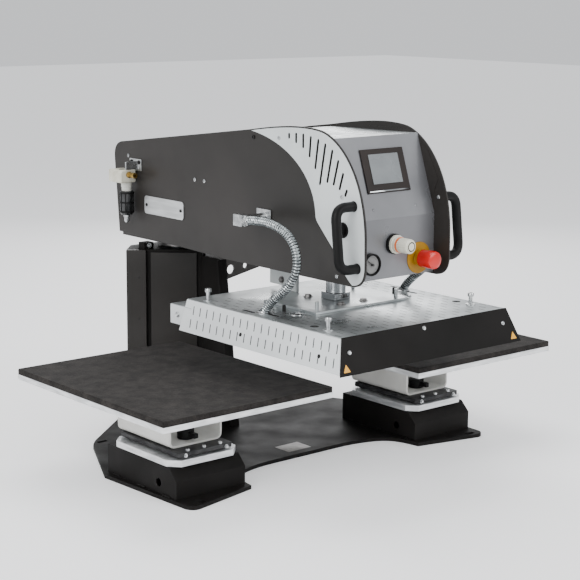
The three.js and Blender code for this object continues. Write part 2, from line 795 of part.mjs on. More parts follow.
{
  const face = PANEL_Y - GAP;
  // Pressure gauge: a can with a rim, and a pointer over its dial.
  const can = cut(
    barY(GAUGE_X, face - GAUGE_OUT, face, CONTROL_Z, GAUGE_R, 32),
    barY(GAUGE_X, face - GAUGE_OUT - 1, face - 5, CONTROL_Z, GAUGE_R - 2.5, 32),
  );
  piece("gauge_case", can, blackPlastic);
  const needle = join(
    barY(GAUGE_X, face - 10, face - 5 - GAP, CONTROL_Z, 2.5, 12),
    box(GAUGE_X - 0.8, GAUGE_X + 0.8, face - 9, face - 7.5, CONTROL_Z - 4, CONTROL_Z + 15),
  );
  needle.translate(-GAUGE_X, 0, -CONTROL_Z);
  const pointer = piece("gauge_needle", needle, blackPlastic);
  pointer.position.set(GAUGE_X, 0, CONTROL_Z);
  pointer.rotation.y = NEEDLE_REST;

  // Pressure regulator: a nut and body, and a ribbed knob that turns.
  const bodyTip = face - 22;
  piece(
    "regulator_body",
    join(
      barY(REGULATOR_X, face - 12, face, REGULATOR_Z, 20, 12),
      barY(REGULATOR_X, bodyTip, face - 11, REGULATOR_Z, 16, 24),
    ),
    creamPlastic,
  );
  const knob = barY(REGULATOR_X, face - KNOB_OUT, bodyTip - GAP, REGULATOR_Z, 14.5, 24);
  piece("regulator_knob", knob, creamPlastic);

  // Emergency stop: a yellow disc, a collar, and the mushroom that is pushed in.
  piece("stop_disc", barY(STOP_X, face - 2, face, CONTROL_Z, 31, 40), yellowPlastic);
  const collarTip = face - 2 - GAP - STOP_COLLAR;
  piece(
    "stop_collar",
    cut(
      barY(STOP_X, collarTip, face - 2 - GAP, CONTROL_Z, 15, 28),
      barY(STOP_X, collarTip - 1, collarTip + STOP_TRAVEL + 6, CONTROL_Z, 10 + FIT, 24),
    ),
    redPlastic,
  );
  const headBack = collarTip - STOP_TRAVEL - GAP;
  piece(
    "stop_button",
    join(
      barY(STOP_X, headBack - 20, headBack, CONTROL_Z, 18, 32),
      barY(STOP_X, headBack - 1, collarTip + 5, CONTROL_Z, 10, 24),
    ),
    redPlastic,
  );
}

// ---- fittings on the left side plate ------------------------------------------------------
{
  const skin = -ARM_HALF - GAP;
  piece(
    "name_plate",
    box(skin - 2, skin, NAME_Y0, NAME_Y1, NAME_Z - 19.5, NAME_Z + 19.5),
    bareAluminium,
  );
  // Air filter: a bracket, and a cast head with its inlet, bowl and drain.
  const fx = skin - FILTER_OUT;
  const foot = join(
    box(skin - 2, skin, FILTER_Y - 38, FILTER_Y + 6, 566, 592),
    box(fx - 10, skin - 1, FILTER_Y - 30, FILTER_Y - 26, 570, 588),
  );
  piece("filter_bracket", foot, bareAluminium);
  piece(
    "air_filter",
    join(
      block(fx, FILTER_Y, 40, 50, 541, 569),
      barY(fx, FILTER_Y - 50, FILTER_Y - 24, 559, 7, 12),
      barZ(fx + 6, FILTER_Y - 8, 520, 542, 12, 20),
      barZ(fx + 6, FILTER_Y - 8, 468, 522, 15, 24),
      barZ(fx + 6, FILTER_Y - 8, 452, 470, 6, 12),
    ),
    creamPlastic,
  );
}

// ---- heated head --------------------------------------------------------------------------
const cylinderBase = FLOOR_Z + FLOOR_T + GAP;
{
  // Cover: a box with leaning walls and a lower box behind, both open underneath.
  const outer = join(
    leaningBlock(-COVER_HALF, COVER_HALF, COVER_FRONT, COVER_REAR, COVER_Z, COVER_TOP, COVER_SLOPE),
    box(
      -COVER_HALF + 14,
      COVER_HALF - 14,
      COVER_REAR - 60,
      COVER_REAR + BACKBOX_D,
      COVER_Z + 6,
      BACKBOX_TOP,
    ),
  );
  const hollow = join(
    leaningBlock(
      -COVER_HALF + SKIN,
      COVER_HALF - SKIN,
      COVER_FRONT + SKIN,
      COVER_REAR - SKIN,
      COVER_Z - 1,
      COVER_TOP - SKIN,
      COVER_SLOPE,
    ),
    box(
      -COVER_HALF + 14 + SKIN,
      COVER_HALF - 14 - SKIN,
      COVER_REAR - 62,
      COVER_REAR + BACKBOX_D - SKIN,
      COVER_Z - 1,
      BACKBOX_TOP - SKIN,
    ),
  );
  const conduitHoles = [-1, 1].map((side) =>
    barZ(side * CONDUIT_FOOT_X, CONDUIT_FOOT_Y, COVER_TOP - 10, COVER_TOP + 10, 14, 20),
  );
  const ventHoles = [-1, 1].flatMap((side) =>
    [-758, -683].map((y) => barZ(side * 189, y + 70, COVER_TOP - 10, COVER_TOP + 10, 6, 12)),
  );
  piece("heater_cover", cut(outer, hollow, ...conduitHoles, ...ventHoles), zincSheet);

  // Front plate, painted, hung on the front wall and leaning with it.
  const slope = COVER_SLOPE / (COVER_TOP - COVER_Z);
  const z0 = COVER_Z - 3;
  const z1 = COVER_TOP + 1;
  const wallAt = (z) => COVER_FRONT - 1.5 * GAP + slope * (z - COVER_Z);
  const leaning = sheetYZ(
    outline([
      [wallAt(z0) - SKIN, z0],
      [wallAt(z0), z0],
      [wallAt(z1), z1],
      [wallAt(z1) - SKIN, z1],
    ]),
    -COVER_HALF - 9,
    COVER_HALF + 9,
  );
  const widthAt = (z) => COVER_HALF - 1 - slope * (z - COVER_Z);
  const sides = sheetXZ(
    outline([
      [-widthAt(z0), z0],
      [widthAt(z0), z0],
      [widthAt(z1), z1],
      [-widthAt(z1), z1],
    ]),
    COVER_FRONT - 20,
    COVER_FRONT + 60,
  );
  piece("heater_front_plate", trim(leaning, sides), blackPaint);

  // Heated platen, its insulation, and the pressure plate bolted through the cover.
  piece(
    "heating_platen",
    block(0, HEAD_Y, HEAT_W, HEAT_D, HEAT_Z, HEAT_Z + HEAT_T),
    bareAluminium,
  );
  piece(
    "insulation_board",
    block(0, HEAD_Y - 12, HEAT_W - 20, HEAT_D - 60, HEAT_Z + HEAT_T + GAP, HEAT_Z + HEAT_T + 14),
    foamRubber,
  );
  const pressZ = COVER_TOP + GAP;
  const studs = [-1, 1].flatMap((i) =>
    [-1, 1].map((j) =>
      barZ(i * (PRESS_HALF - 16), ROD_Y + j * (PRESS_D / 2 - 16), pressZ, pressZ + 22, 4, 10),
    ),
  );
  piece(
    "pressure_plate",
    join(block(0, ROD_Y, 2 * PRESS_HALF, PRESS_D, pressZ, pressZ + PRESS_T), ...studs),
    bareAluminium,
  );

  // Rod, collar and coupling above the pressure plate.
  const rodBase = pressZ + PRESS_T + GAP;
  const pistonTop = cylinderBase + CYLINDER_H - CYLINDER_END - FIT;
  piece(
    "piston_rod",
    join(
      block(0, ROD_Y, 42, 42, rodBase, rodBase + 14),
      barZ(0, ROD_Y, rodBase + 13, pistonTop - PISTON_T + 1, ROD_R, 28),
      barZ(0, ROD_Y, pistonTop - PISTON_T, pistonTop, CYLINDER_R - CYLINDER_WALL - FIT, 28),
    ),
    polishedSteel,
  );

  // Guide blade: keeps the head square to the arm as it goes down.
  const bladeFoot = COVER_TOP + GAP;
  const blade = sheetYZ(
    outline([
      [GUIDE_Y, bladeFoot],
      [GUIDE_Y + GUIDE_FOOT, bladeFoot],
      [GUIDE_Y + GUIDE_FOOT, bladeFoot + 8],
      [GUIDE_Y + GUIDE_W, bladeFoot + 8],
      [GUIDE_Y + GUIDE_W, FLOOR_Z + 96],
      [GUIDE_Y, FLOOR_Z + 96],
    ]),
    -BLADE_T / 2,
    BLADE_T / 2,
  );
  piece("guide_blade", blade, bareAluminium);
}

// Air cylinder in the arm: a barrel with closed ends that the rod runs in.
{
  const z0 = cylinderBase;
  const bore = CYLINDER_R - CYLINDER_WALL;
  const barrel = cut(
    barZ(0, ROD_Y, z0, z0 + CYLINDER_H, CYLINDER_R, 32),
    barZ(0, ROD_Y, z0 + CYLINDER_END, z0 + CYLINDER_H - CYLINDER_END, bore, 32),
    barZ(0, ROD_Y, z0 - 1, z0 + CYLINDER_END + 1, ROD_R + FIT, 28),
  );
  piece("air_cylinder", barrel, bareAluminium);
}

// ---- conduits -----------------------------------------------------------------------------
// A flexible steel conduit on each side feeds the heated head from the arm.
const CONDUIT_ROUTE = [
  [-172, -457, 515],
  [-173, -488, 518],
  [-174, -520, 519],
  [-176, -550, 516],
  [-177, -576, 509],
  [-178, -598, 497],
  [-179, -613, 479],
  [-180, -620, 458],
  [-181, -618, 436],
  [-183, -606, 414],
  [-184, -588, 396],
  [-185, -566, 380],
  [-186, -548, 365],
  [-187, -536, 352],
  [-CONDUIT_FOOT_X, CONDUIT_FOOT_Y, COVER_TOP + 1],
];
for (const side of [-1, 1]) {
  const label = side < 0 ? "left" : "right";
  const route = CONDUIT_ROUTE.map(([x, y, z]) => [-side * x, y, z]);
  piece(label + "_conduit", tube(route, CONDUIT_R, 30, 5), polishedSteel);
  const x0 = side * (ARM_HALF + GAP);
  const x1 = side * 183;
  const mid = side * 172;
  const [a, b] = [Math.min(x0, x1 - side * 14), Math.max(x0, x1 - side * 14)];
  piece(
    label + "_conduit_elbow",
    join(
      barX(a, b, -442, 515, 9, 16),
      block(mid, -442, 22, 27, 503, 526),
      box(Math.min(x0, x0 + side * 3), Math.max(x0, x0 + side * 3), -462, -418, 499, 531),
    ),
    bareAluminium,
  );
}

for (const mesh of press.children.slice(firstOnArm)) mesh.position.z += COLUMN_H - ARM_DATUM;

export default press;
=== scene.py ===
# Pneumatic double-station heat press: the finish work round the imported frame. Metres, +Z up,
# -Y is the operator's side, and the arm swings about the Z axis through the origin.
import math

import bmesh
import bpy
from mathutils import Matrix, Vector, kdtree, noise


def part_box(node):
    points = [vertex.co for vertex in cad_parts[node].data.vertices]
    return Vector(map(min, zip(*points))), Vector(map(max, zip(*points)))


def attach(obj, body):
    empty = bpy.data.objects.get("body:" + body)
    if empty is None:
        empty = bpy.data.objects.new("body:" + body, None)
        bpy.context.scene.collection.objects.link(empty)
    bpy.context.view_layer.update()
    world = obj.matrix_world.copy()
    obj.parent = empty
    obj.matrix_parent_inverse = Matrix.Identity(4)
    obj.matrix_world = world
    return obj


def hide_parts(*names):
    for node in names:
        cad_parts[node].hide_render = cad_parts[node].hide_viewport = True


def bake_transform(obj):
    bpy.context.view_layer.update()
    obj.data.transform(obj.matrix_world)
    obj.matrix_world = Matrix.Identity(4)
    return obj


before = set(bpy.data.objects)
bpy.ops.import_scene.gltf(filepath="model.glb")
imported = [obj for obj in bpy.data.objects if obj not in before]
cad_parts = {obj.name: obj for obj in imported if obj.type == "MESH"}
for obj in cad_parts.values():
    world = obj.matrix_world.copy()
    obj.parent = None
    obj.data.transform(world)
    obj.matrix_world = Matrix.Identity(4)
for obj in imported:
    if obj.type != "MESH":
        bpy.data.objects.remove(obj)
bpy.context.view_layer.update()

MM = 0.001


# ---- camera, floor and light ----
# The press stands on a pale studio floor. The camera looks from the operator's left, a little
# above the trays, with a long lens.
CAMERA_AT = Vector((-2.04187, -2.80195, 0.96184))
CAMERA_YAW = math.radians(40.22)
CAMERA_PITCH = math.radians(11.04)
CAMERA_ROLL = math.radians(0.43)

flat = math.cos(CAMERA_PITCH)
forward = Vector(
    (math.sin(CAMERA_YAW) * flat, math.cos(CAMERA_YAW) * flat, -math.sin(CAMERA_PITCH))
)
level = Vector((math.cos(CAMERA_YAW), -math.sin(CAMERA_YAW), 0))
upright = level.cross(forward)
right = level * math.cos(CAMERA_ROLL) + upright * math.sin(CAMERA_ROLL)
up = upright * math.cos(CAMERA_ROLL) - level * math.sin(CAMERA_ROLL)

lens = bpy.data.cameras.new("camera")
lens.sensor_width = 36
lens.lens = 95.95
camera = bpy.data.objects.new("camera", lens)
turn = Matrix((right, up, -forward)).transposed()
camera.matrix_world = Matrix.Translation(CAMERA_AT) @ turn.to_4x4()
bpy.context.collection.objects.link(camera)
bpy.context.scene.camera = camera


def paint(hex_colour):
    """An sRGB hex colour as the linear RGBA that shaders take."""
    channels = [int(hex_colour[i : i + 2], 16) / 255 for i in (0, 2, 4)]
    linear = [c / 12.92 if c <= 0.04045 else ((c + 0.055) / 1.055) ** 2.4 for c in channels]
    return (*linear, 1.0)


floor_paint = bpy.data.materials.new("studio_floor")
floor_paint.use_nodes = True
floor_sockets = floor_paint.node_tree.nodes["Principled BSDF"].inputs
floor_sockets["Base Color"].default_value = paint("F4F4F5")
floor_sockets["Roughness"].default_value = 0.9
floor_sockets["Emission Color"].default_value = paint("FFFFFF")
floor_sockets["Emission Strength"].default_value = 0.3
bm = bmesh.new()
bmesh.ops.create_grid(bm, x_segments=1, y_segments=1, size=14)
floor_mesh = bpy.data.meshes.new("floor")
bm.to_mesh(floor_mesh)
bm.free()
floor = bpy.data.objects.new("floor", floor_mesh)
floor_mesh.materials.append(floor_paint)
bpy.context.collection.objects.link(floor)

sky = bpy.data.worlds.new("studio")
sky.use_nodes = True
sky_sockets = sky.node_tree.nodes["Background"].inputs
sky_sockets["Color"].default_value = paint("F5F7FA")
sky_sockets["Strength"].default_value = 0.9
bpy.context.scene.world = sky

LIT_POINT = Vector((0, -0.35, 0.35))
for name, at, size, power in (
    ("left_softbox", (-2.6, -1.2, 1.7), 1.6, 62),
    ("front_softbox", (0.9, -2.9, 1.5), 1.5, 36),
    ("top_softbox", (0.3, 0.4, 2.7), 2.2, 52),
    ("rear_softbox", (1.9, 1.8, 1.3), 1.4, 20),
):
    light = bpy.data.lights.new(name, "AREA")
    light.shape = "SQUARE"
    light.size = size
    light.energy = power
    softbox = bpy.data.objects.new(name, light)
    aim = (LIT_POINT - Vector(at)).to_track_quat("-Z", "Y")
    softbox.matrix_world = Matrix.Translation(at) @ aim.to_matrix().to_4x4()
    bpy.context.collection.objects.link(softbox)


# ---- base plate ----
# One 8 mm steel plate, laser cut with slotted ears for bench screws, and powder coated
# black like all the folded sheet of the press.
def add(tree, kind, inputs=None, **settings):
    """Adds a node, sets its settings, and sets or links its inputs."""
    made = tree.nodes.new(kind)
    for name, value in settings.items():
        setattr(made, name, value)
    for name, value in (inputs or {}).items():
        if isinstance(value, bpy.types.NodeSocket):
            tree.links.new(value, made.inputs[name])
        else:
            made.inputs[name].default_value = value
    return made


def opened(name):
    """A new material with its node tree, its shader and its Object coordinates."""
    made = bpy.data.materials.new(name)
    made.use_nodes = True
    tree = made.node_tree
    place = add(tree, "ShaderNodeTexCoord").outputs["Object"]
    return made, tree, tree.nodes["Principled BSDF"], place


def surfaced(
    name, low, high, roughness, patch, grain, peel, metallic=0.0, lines=(1, 1, 1), shine=0.5
):
    """A finish whose tone drifts over patches and whose skin has a grain, both in millimetres.
    Peel is the grain's depth, lines stretch it along the axis with the smallest number, and
    shine is the specular level."""
    made, tree, shader, place = opened(name)
    shader.inputs["Metallic"].default_value = metallic
    shader.inputs["Specular IOR Level"].default_value = shine
    drawn = add(tree, "ShaderNodeMapping", {"Vector": place, "Scale": lines}).outputs["Vector"]
    cloud = add(tree, "ShaderNodeTexNoise", {"Vector": drawn, "Scale": 1000 / patch, "Detail": 6.0})
    tone = add(tree, "ShaderNodeValToRGB", {"Fac": cloud.outputs["Fac"]})
    tone.color_ramp.elements[0].position = 0.36
    tone.color_ramp.elements[0].color = paint(low)
    tone.color_ramp.elements[1].position = 0.66
    tone.color_ramp.elements[1].color = paint(high)
    tree.links.new(tone.outputs["Color"], shader.inputs["Base Color"])
    skin = add(tree, "ShaderNodeTexNoise", {"Vector": drawn, "Scale": 1000 / grain, "Detail": 3.0})
    relief = {"Height": skin.outputs["Fac"], "Strength": peel, "Distance": 0.0004}
    bump = add(tree, "ShaderNodeBump", relief)
    tree.links.new(bump.outputs["Normal"], shader.inputs["Normal"])
    # Handling leaves some places duller and some polished.
    marks = add(tree, "ShaderNodeTexNoise", {"Vector": place, "Scale": 13.0, "Detail": 8.0})
    spread = {"Value": marks.outputs["Fac"], "From Min": 0.3, "From Max": 0.7}
    spread |= {"To Min": max(roughness - 0.08, 0.03), "To Max": roughness + 0.1}
    gloss = add(tree, "ShaderNodeMapRange", spread)
    tree.links.new(gloss.outputs["Result"], shader.inputs["Roughness"])
    return made


def together(parts):
    """Joins bmeshes into one."""
    whole = bmesh.new()
    for part in parts:
        mesh = bpy.data.meshes.new("part")
        part.to_mesh(mesh)
        part.free()
        whole.from_mesh(mesh)
        bpy.data.meshes.remove(mesh)
    return whole


def placed(shape, name, material, body, replaces=(), ease=0, segments=2, smooth=35):
    """Makes a bmesh, or several, one piece at the origin. Shades it, eases its edges (mm), and
    ties it to its body, if it has one."""
    bm = together(shape) if isinstance(shape, list) else shape
    mesh = bpy.data.meshes.new(name)
    bm.to_mesh(mesh)
    bm.free()
    made = bpy.data.objects.new(name, mesh)
    bpy.context.collection.objects.link(made)
    mesh.materials.append(material)
    mesh.shade_smooth()
    mesh.set_sharp_from_angle(angle=math.radians(smooth))
    if ease:
        bevel = made.modifiers.new("eased_edges", "BEVEL")
        bevel.width = ease * MM
        bevel.segments = segments
        bevel.limit_method = "ANGLE"
        bevel.angle_limit = math.radians(smooth)
        bevel.harden_normals = True
    if body:
        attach(made, body)
    if replaces:
        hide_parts(*replaces)
    return made


def eased(node, material, body, width, segments=2, smooth=35):
    """A piece that stands for a CAD node: the same shape with its edges eased."""
    bm = bmesh.new()
    bm.from_mesh(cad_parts[node].data)
    bm.transform(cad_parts[node].matrix_world)
    bmesh.ops.remove_doubles(bm, verts=bm.verts, dist=0.02 * MM)
    bmesh.ops.dissolve_limit(bm, angle_limit=math.radians(1), verts=bm.verts, edges=bm.edges)
    return placed(bm, node + "_finished", material, body, (node,), width, segments, smooth)


# Polyester powder coat: charcoal in the light, with an orange-peel skin. The real peel is
# about 0.3 mm across; it is drawn at 1 mm so that it shows.
powder_coat = surfaced("black_powder_coat", "121110", "1A1817", 0.56, 190, 1.0, 0.14, shine=0.1)
eased("base_plate", powder_coat, "base", 0.9)


# ---- pedestals ----
# Folded 3 mm steel boxes, welded to the base plate along their sides. The welds are short
# rippled beads under the paint.
UP = (0, 0, 1)


def limits(node):
    """The low and high corners of a CAD node, in millimetres."""
    return [Vector(corner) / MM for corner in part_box(node)]


def turned(profile, sides=28):
    """A turned piece about Z from (radius, height) points in millimetres."""
    bm = bmesh.new()
    points = [bm.verts.new((r * MM, 0, z * MM)) for r, z in profile]
    for pair in zip(points, points[1:]):
        bm.edges.new(pair)
    whole_turn = dict(angle=2 * math.pi, steps=sides, use_merge=True)
    drawn = bm.verts[:] + bm.edges[:]
    bmesh.ops.spin(bm, geom=drawn, axis=UP, cent=(0, 0, 0), dvec=(0, 0, 0), **whole_turn)
    bmesh.ops.remove_doubles(bm, verts=bm.verts, dist=0.005 * MM)
    bmesh.ops.recalc_face_normals(bm, faces=bm.faces)
    return bm


def aimed(bm, at, facing):
    """Turns a piece's Z axis to face a direction, and puts it at a point in millimetres."""
    quarter = Vector(facing).to_track_quat("Z", "Y").to_matrix().to_4x4()
    bm.transform(Matrix.Translation(Vector(at) * MM) @ quarter)
    return bm


def stood(profile, sides, at):
    """A turned piece standing at a point in millimetres."""
    return aimed(turned(profile, sides), at, UP)


SIDES = ((-1, "left"), (1, "right"))
WELD_R = 3.2
WELD_L = 26
RIPPLES = 14
for side, label in SIDES:
    eased(label + "_pedestal", powder_coat, "base", 1.6, 3)
    low, high = limits(label + "_pedestal")
    beads = []
    for flank in (low.x, high.x):
        for y in (low.y + 18, (low.y + high.y) / 2 - 14, high.y - 44):
            ripples = [(0, 0)]
            for step in range(RIPPLES):
                swell = WELD_R if step % 2 else WELD_R * 0.86
                ripples.append((swell, 1 + step * (WELD_L - 2) / (RIPPLES - 1)))
            ripples.append((0, WELD_L))
            beads.append(aimed(turned(ripples, 12), (flank, y, low.z + 0.6), (0, 1, 0)))
    placed(beads, label + "_pedestal_welds", powder_coat, "base", smooth=80)


# ---- riser and clamp plates ----
# Risers are sawn from 13 mm cast aluminium tooling plate. The steel clamp plate above stands
# on levelling screws and is held by four socket-head screws.
def rounded(bm, edges, width, segments):
    """Rounds some edges of a mesh, to a width in millimetres."""
    shape = dict(segments=segments, profile=0.5, affect="EDGES", material=-1)
    bmesh.ops.bevel(bm, geom=edges, offset=width * MM, **shape)


def slab(x0, x1, y0, y1, z0, z1, ease=0.0, segments=2):
    """A block between limits in millimetres, with its edges eased."""
    bm = bmesh.new()
    bmesh.ops.create_cube(bm, size=1)
    bmesh.ops.scale(bm, vec=Vector((x1 - x0, y1 - y0, z1 - z0)) * MM, verts=bm.verts)
    bmesh.ops.translate(bm, vec=Vector((x0 + x1, y0 + y1, z0 + z1)) * MM / 2, verts=bm.verts)
    if ease:
        rounded(bm, bm.edges[:], ease, segments)
    return bm


def socket_screw(at, facing, radius=5.0, height=5.0):
    """A cap screw's head with its hexagon socket."""
    head = [(0, 0), (radius, 0), (radius, height * 0.85), (radius * 0.9, height)]
    socket = [(radius * 0.56, height), (radius * 0.5, height * 0.45), (0, height * 0.4)]
    return aimed(turned(head + socket, 24), at, facing)


def hex_bolt(at, facing, radius=6.0, height=4.5):
    """A hexagon head on its washer."""
    washer = turned([(0, 0), (radius * 1.35, 0), (radius * 1.35, 1), (0, 1)], 24)
    head = [(0, 1), (radius, 1), (radius, height * 0.9), (radius * 0.86, height), (0, height)]
    return aimed(together([washer, turned(head, 6)]), at, facing)


# Bare aluminium, bright with pale oxide. Saw and cutter lines run across it, 1.5 mm apart.
sawn_aluminium = surfaced(
    "sawn_aluminium", "C9CBCC", "ECEDEE", 0.36, 40, 1.5, 0.25, metallic=0.75, lines=(1, 1, 6)
)
# Mild steel, ground: grey, with grinding lines along Y.
ground_steel = surfaced(
    "ground_mild_steel", "6F6D6C", "8C8A89", 0.34, 30, 1.2, 0.15, metallic=0.85, lines=(4, 0.6, 4)
)
# Hot-rolled steel with its mill scale left on: dark blue-grey, half matt.
scaled_steel = surfaced(
    "mill_scaled_steel", "2E2E2F", "454545", 0.46, 26, 1.2, 0.15, metallic=0.5, shine=0.2
)
# Zinc-plated screws: bright, slightly blue-grey.
zinc_plate = surfaced("zinc_plated_steel", "A9ABAC", "D2D4D4", 0.26, 9, 0.8, 0.06, metallic=1.0)
# Blackened steel screws, slightly oily.
black_oxide = surfaced("black_oxide_steel", "1B1A1A", "2A2928", 0.36, 12, 0.8, 0.05, metallic=0.6)
for side, label in SIDES:
    eased(label + "_riser_plate", sawn_aluminium, "base", 0.8)
    eased(label + "_clamp_plate", scaled_steel, "base", 0.7)
    low, high = limits(label + "_clamp_plate")
    heads = [
        socket_screw((x, low.y + 7, high.z), UP, 4.2, 4)
        for x in (low.x + 26, (low.x + high.x) / 2, high.x - 26)
    ]
    heads += [
        hex_bolt((x, low.y + 0.2, (low.z + high.z) / 2), (0, -1, 0), 3.2, 4)
        for x in (low.x + 16, high.x - 16)
    ]
    placed(heads, label + "_clamp_screws", zinc_plate, "base")


# ---- tray channels and locks ----
# Each tray stands on a folded 4 mm aluminium channel, painted cream-grey and open along its
# length. A moulded quarter-turn lock inside holds it down.
def arc(centre, radius, start, end, steps=6):
    """Points round an arc between two angles in degrees."""
    angles = [math.radians(start + (end - start) * i / steps) for i in range(steps + 1)]
    return [(centre[0] + radius * math.cos(a), centre[1] + radius * math.sin(a)) for a in angles]


def swept(points, steps=10):
    """Points along a Bezier curve of any order."""
    order = len(points) - 1
    path = []
    for i in range(steps + 1):
        t = i / steps
        share = [math.comb(order, k) * t**k * (1 - t) ** (order - k) for k in range(order + 1)]
        path.append(tuple(sum(w * p[axis] for w, p in zip(share, points)) for axis in (0, 1)))
    return path


def slot_loop(x, y, half, radius, steps):
    """A round-ended slot along Y, whose end arcs are centred a half either side of a point."""
    ahead = arc((x, y + half), radius, 0, 180, steps)
    return ahead + arc((x, y - half), radius, 180, 360, steps)


PLANES = {
    "XY": Matrix.Identity(4),
    "YZ": Matrix(((0, 0, 1, 0), (1, 0, 0, 0), (0, 1, 0, 0), (0, 0, 0, 1))),
    "XZ": Matrix(((1, 0, 0, 0), (0, 0, 1, 0), (0, 1, 0, 0), (0, 0, 0, 1))),
}


def plate(outline, holes, low, high, plane):
    """A flat sheet with holes, drawn in a plane in millimetres, between two depths across it."""
    bm = bmesh.new()
    for loop in [outline, *holes]:
        points = [bm.verts.new((a * MM, b * MM, 0)) for a, b in loop]
        for pair in zip(points, points[1:] + points[:1]):
            bm.edges.new(pair)
    bmesh.ops.remove_doubles(bm, verts=bm.verts, dist=0.005 * MM)
    bmesh.ops.triangle_fill(bm, use_beauty=True, use_dissolve=False, edges=bm.edges)
    grown = bmesh.ops.extrude_face_region(bm, geom=bm.faces[:])
    moved = [v for v in grown["geom"] if isinstance(v, bmesh.types.BMVert)]
    bmesh.ops.translate(bm, vec=(0, 0, (high - low) * MM), verts=moved)
    bmesh.ops.translate(bm, vec=(0, 0, low * MM), verts=bm.verts)
    bm.transform(PLANES[plane])
    bmesh.ops.recalc_face_normals(bm, faces=bm.faces)
    return bm


def folded(path, thick, low, high, plane, radius=3.0):
    """A sheet folded along a path, which is its outer face; its thickness is on the left."""
    outer, inner = [], []
    for i, here in enumerate(path):
        p = Vector(here)
        ahead = (Vector(path[i + 1]) - p).normalized() if i + 1 < len(path) else None
        behind = (p - Vector(path[i - 1])).normalized() if i else None
        if ahead is None or behind is None:
            along = ahead or behind
            side = Vector((-along.y, along.x)) * thick
            outer.append(tuple(p))
            inner.append(tuple(p + side))
            continue
        bend = behind.cross(ahead)
        middle = (ahead - behind).normalized()
        half = math.acos(max(-1, min(1, behind.dot(ahead)))) / 2
        inward = Vector((-behind.y, behind.x)) + Vector((-ahead.y, ahead.x))
        miter = p + inward.normalized() * thick / math.cos(half)
        big = radius * math.tan(half)
        small = max(radius - thick, 0.4) * math.tan(half)
        outer_reach, inner_reach = (big, small) if bend > 0 else (small, big)
        outer += swept([tuple(p - behind * outer_reach), here, tuple(p + ahead * outer_reach)], 5)
        ends = tuple(miter - behind * inner_reach), tuple(miter + ahead * inner_reach)
        inner += swept([ends[0], tuple(miter), ends[1]], 5)
    return plate(outer + inner[::-1], [], low, high, plane)


# Satin polyester paint, light cream-grey, nearly smooth.
cream_paint = surfaced("cream_grey_paint", "C6C5C0", "D8D7D2", 0.42, 120, 1.4, 0.07)
# Glass-filled nylon, moulded matt black.
nylon = surfaced("moulded_black_nylon", "0B0B0B", "141414", 0.42, 25, 0.9, 0.12, shine=0.14)
CHANNEL_T = 4
CHANNEL_R = 14
for side, label in SIDES:
    low, high = limits(label + "_tray_channel")
    path = [(low.x, high.z), (low.x, low.z), (high.x, low.z), (high.x, high.z)]
    channel = folded(path, CHANNEL_T, low.y, high.y, "XZ", CHANNEL_R)
    stands_for = (label + "_tray_channel",)
    placed(channel, label + "_channel_finished", cream_paint, "base", stands_for, 0.5)
    eased(label + "_tray_lock", nylon, label + "_lock", 1.5, 3)


# ---- trays and pads ----
# A tray is an 11 mm aluminium plate with sawn edges. Its pad is a slab of black silicone
# sponge, cut to the tray and bonded; heat and pressing leave it mottled.
def sponge_material():
    """Closed-cell silicone sponge: matt, with 1 to 3 mm pores painted darker as painted shade, and
    dusty worn patches.
    """
    made, tree, shader, place = opened("black_silicone_sponge")
    shader.inputs["Roughness"].default_value = 0.92
    shader.inputs["Specular IOR Level"].default_value = 0.15
    shader.inputs["Sheen Weight"].default_value = 0.03
    clouds = {"Vector": place, "Scale": 34.0, "Detail": 12.0, "Roughness": 0.68}
    wear = add(tree, "ShaderNodeTexNoise", clouds)
    tone = add(tree, "ShaderNodeValToRGB", {"Fac": wear.outputs["Fac"]})
    tone.color_ramp.elements[0].position = 0.38
    tone.color_ramp.elements[0].color = paint("1B1918")
    tone.color_ramp.elements[1].position = 0.68
    tone.color_ramp.elements[1].color = paint("2E2B29")
    # The real cells are under 1 mm; they are drawn 3 mm apart so that they show.
    cells = add(tree, "ShaderNodeTexVoronoi", {"Vector": place, "Scale": 330.0})
    depth = cells.outputs["Distance"]
    # The pores are painted darker: painted shade in them.
    pore_shade_range = {"Value": depth, "From Max": 0.6, "To Min": 0.45, "To Max": 1.35}
    pores = add(tree, "ShaderNodeMapRange", pore_shade_range)
    # A mix node's inputs by number: its share, and the two colours.
    layers = {0: 0.9, 6: tone.outputs["Color"], 7: pores.outputs["Result"]}
    dark = add(tree, "ShaderNodeMix", layers, data_type="RGBA", blend_type="MULTIPLY")
    tree.links.new(dark.outputs[2], shader.inputs["Base Color"])
    bump = add(tree, "ShaderNodeBump", {"Height": depth, "Strength": 0.7, "Distance": 0.0009})
    tree.links.new(bump.outputs["Normal"], shader.inputs["Normal"])
    return made


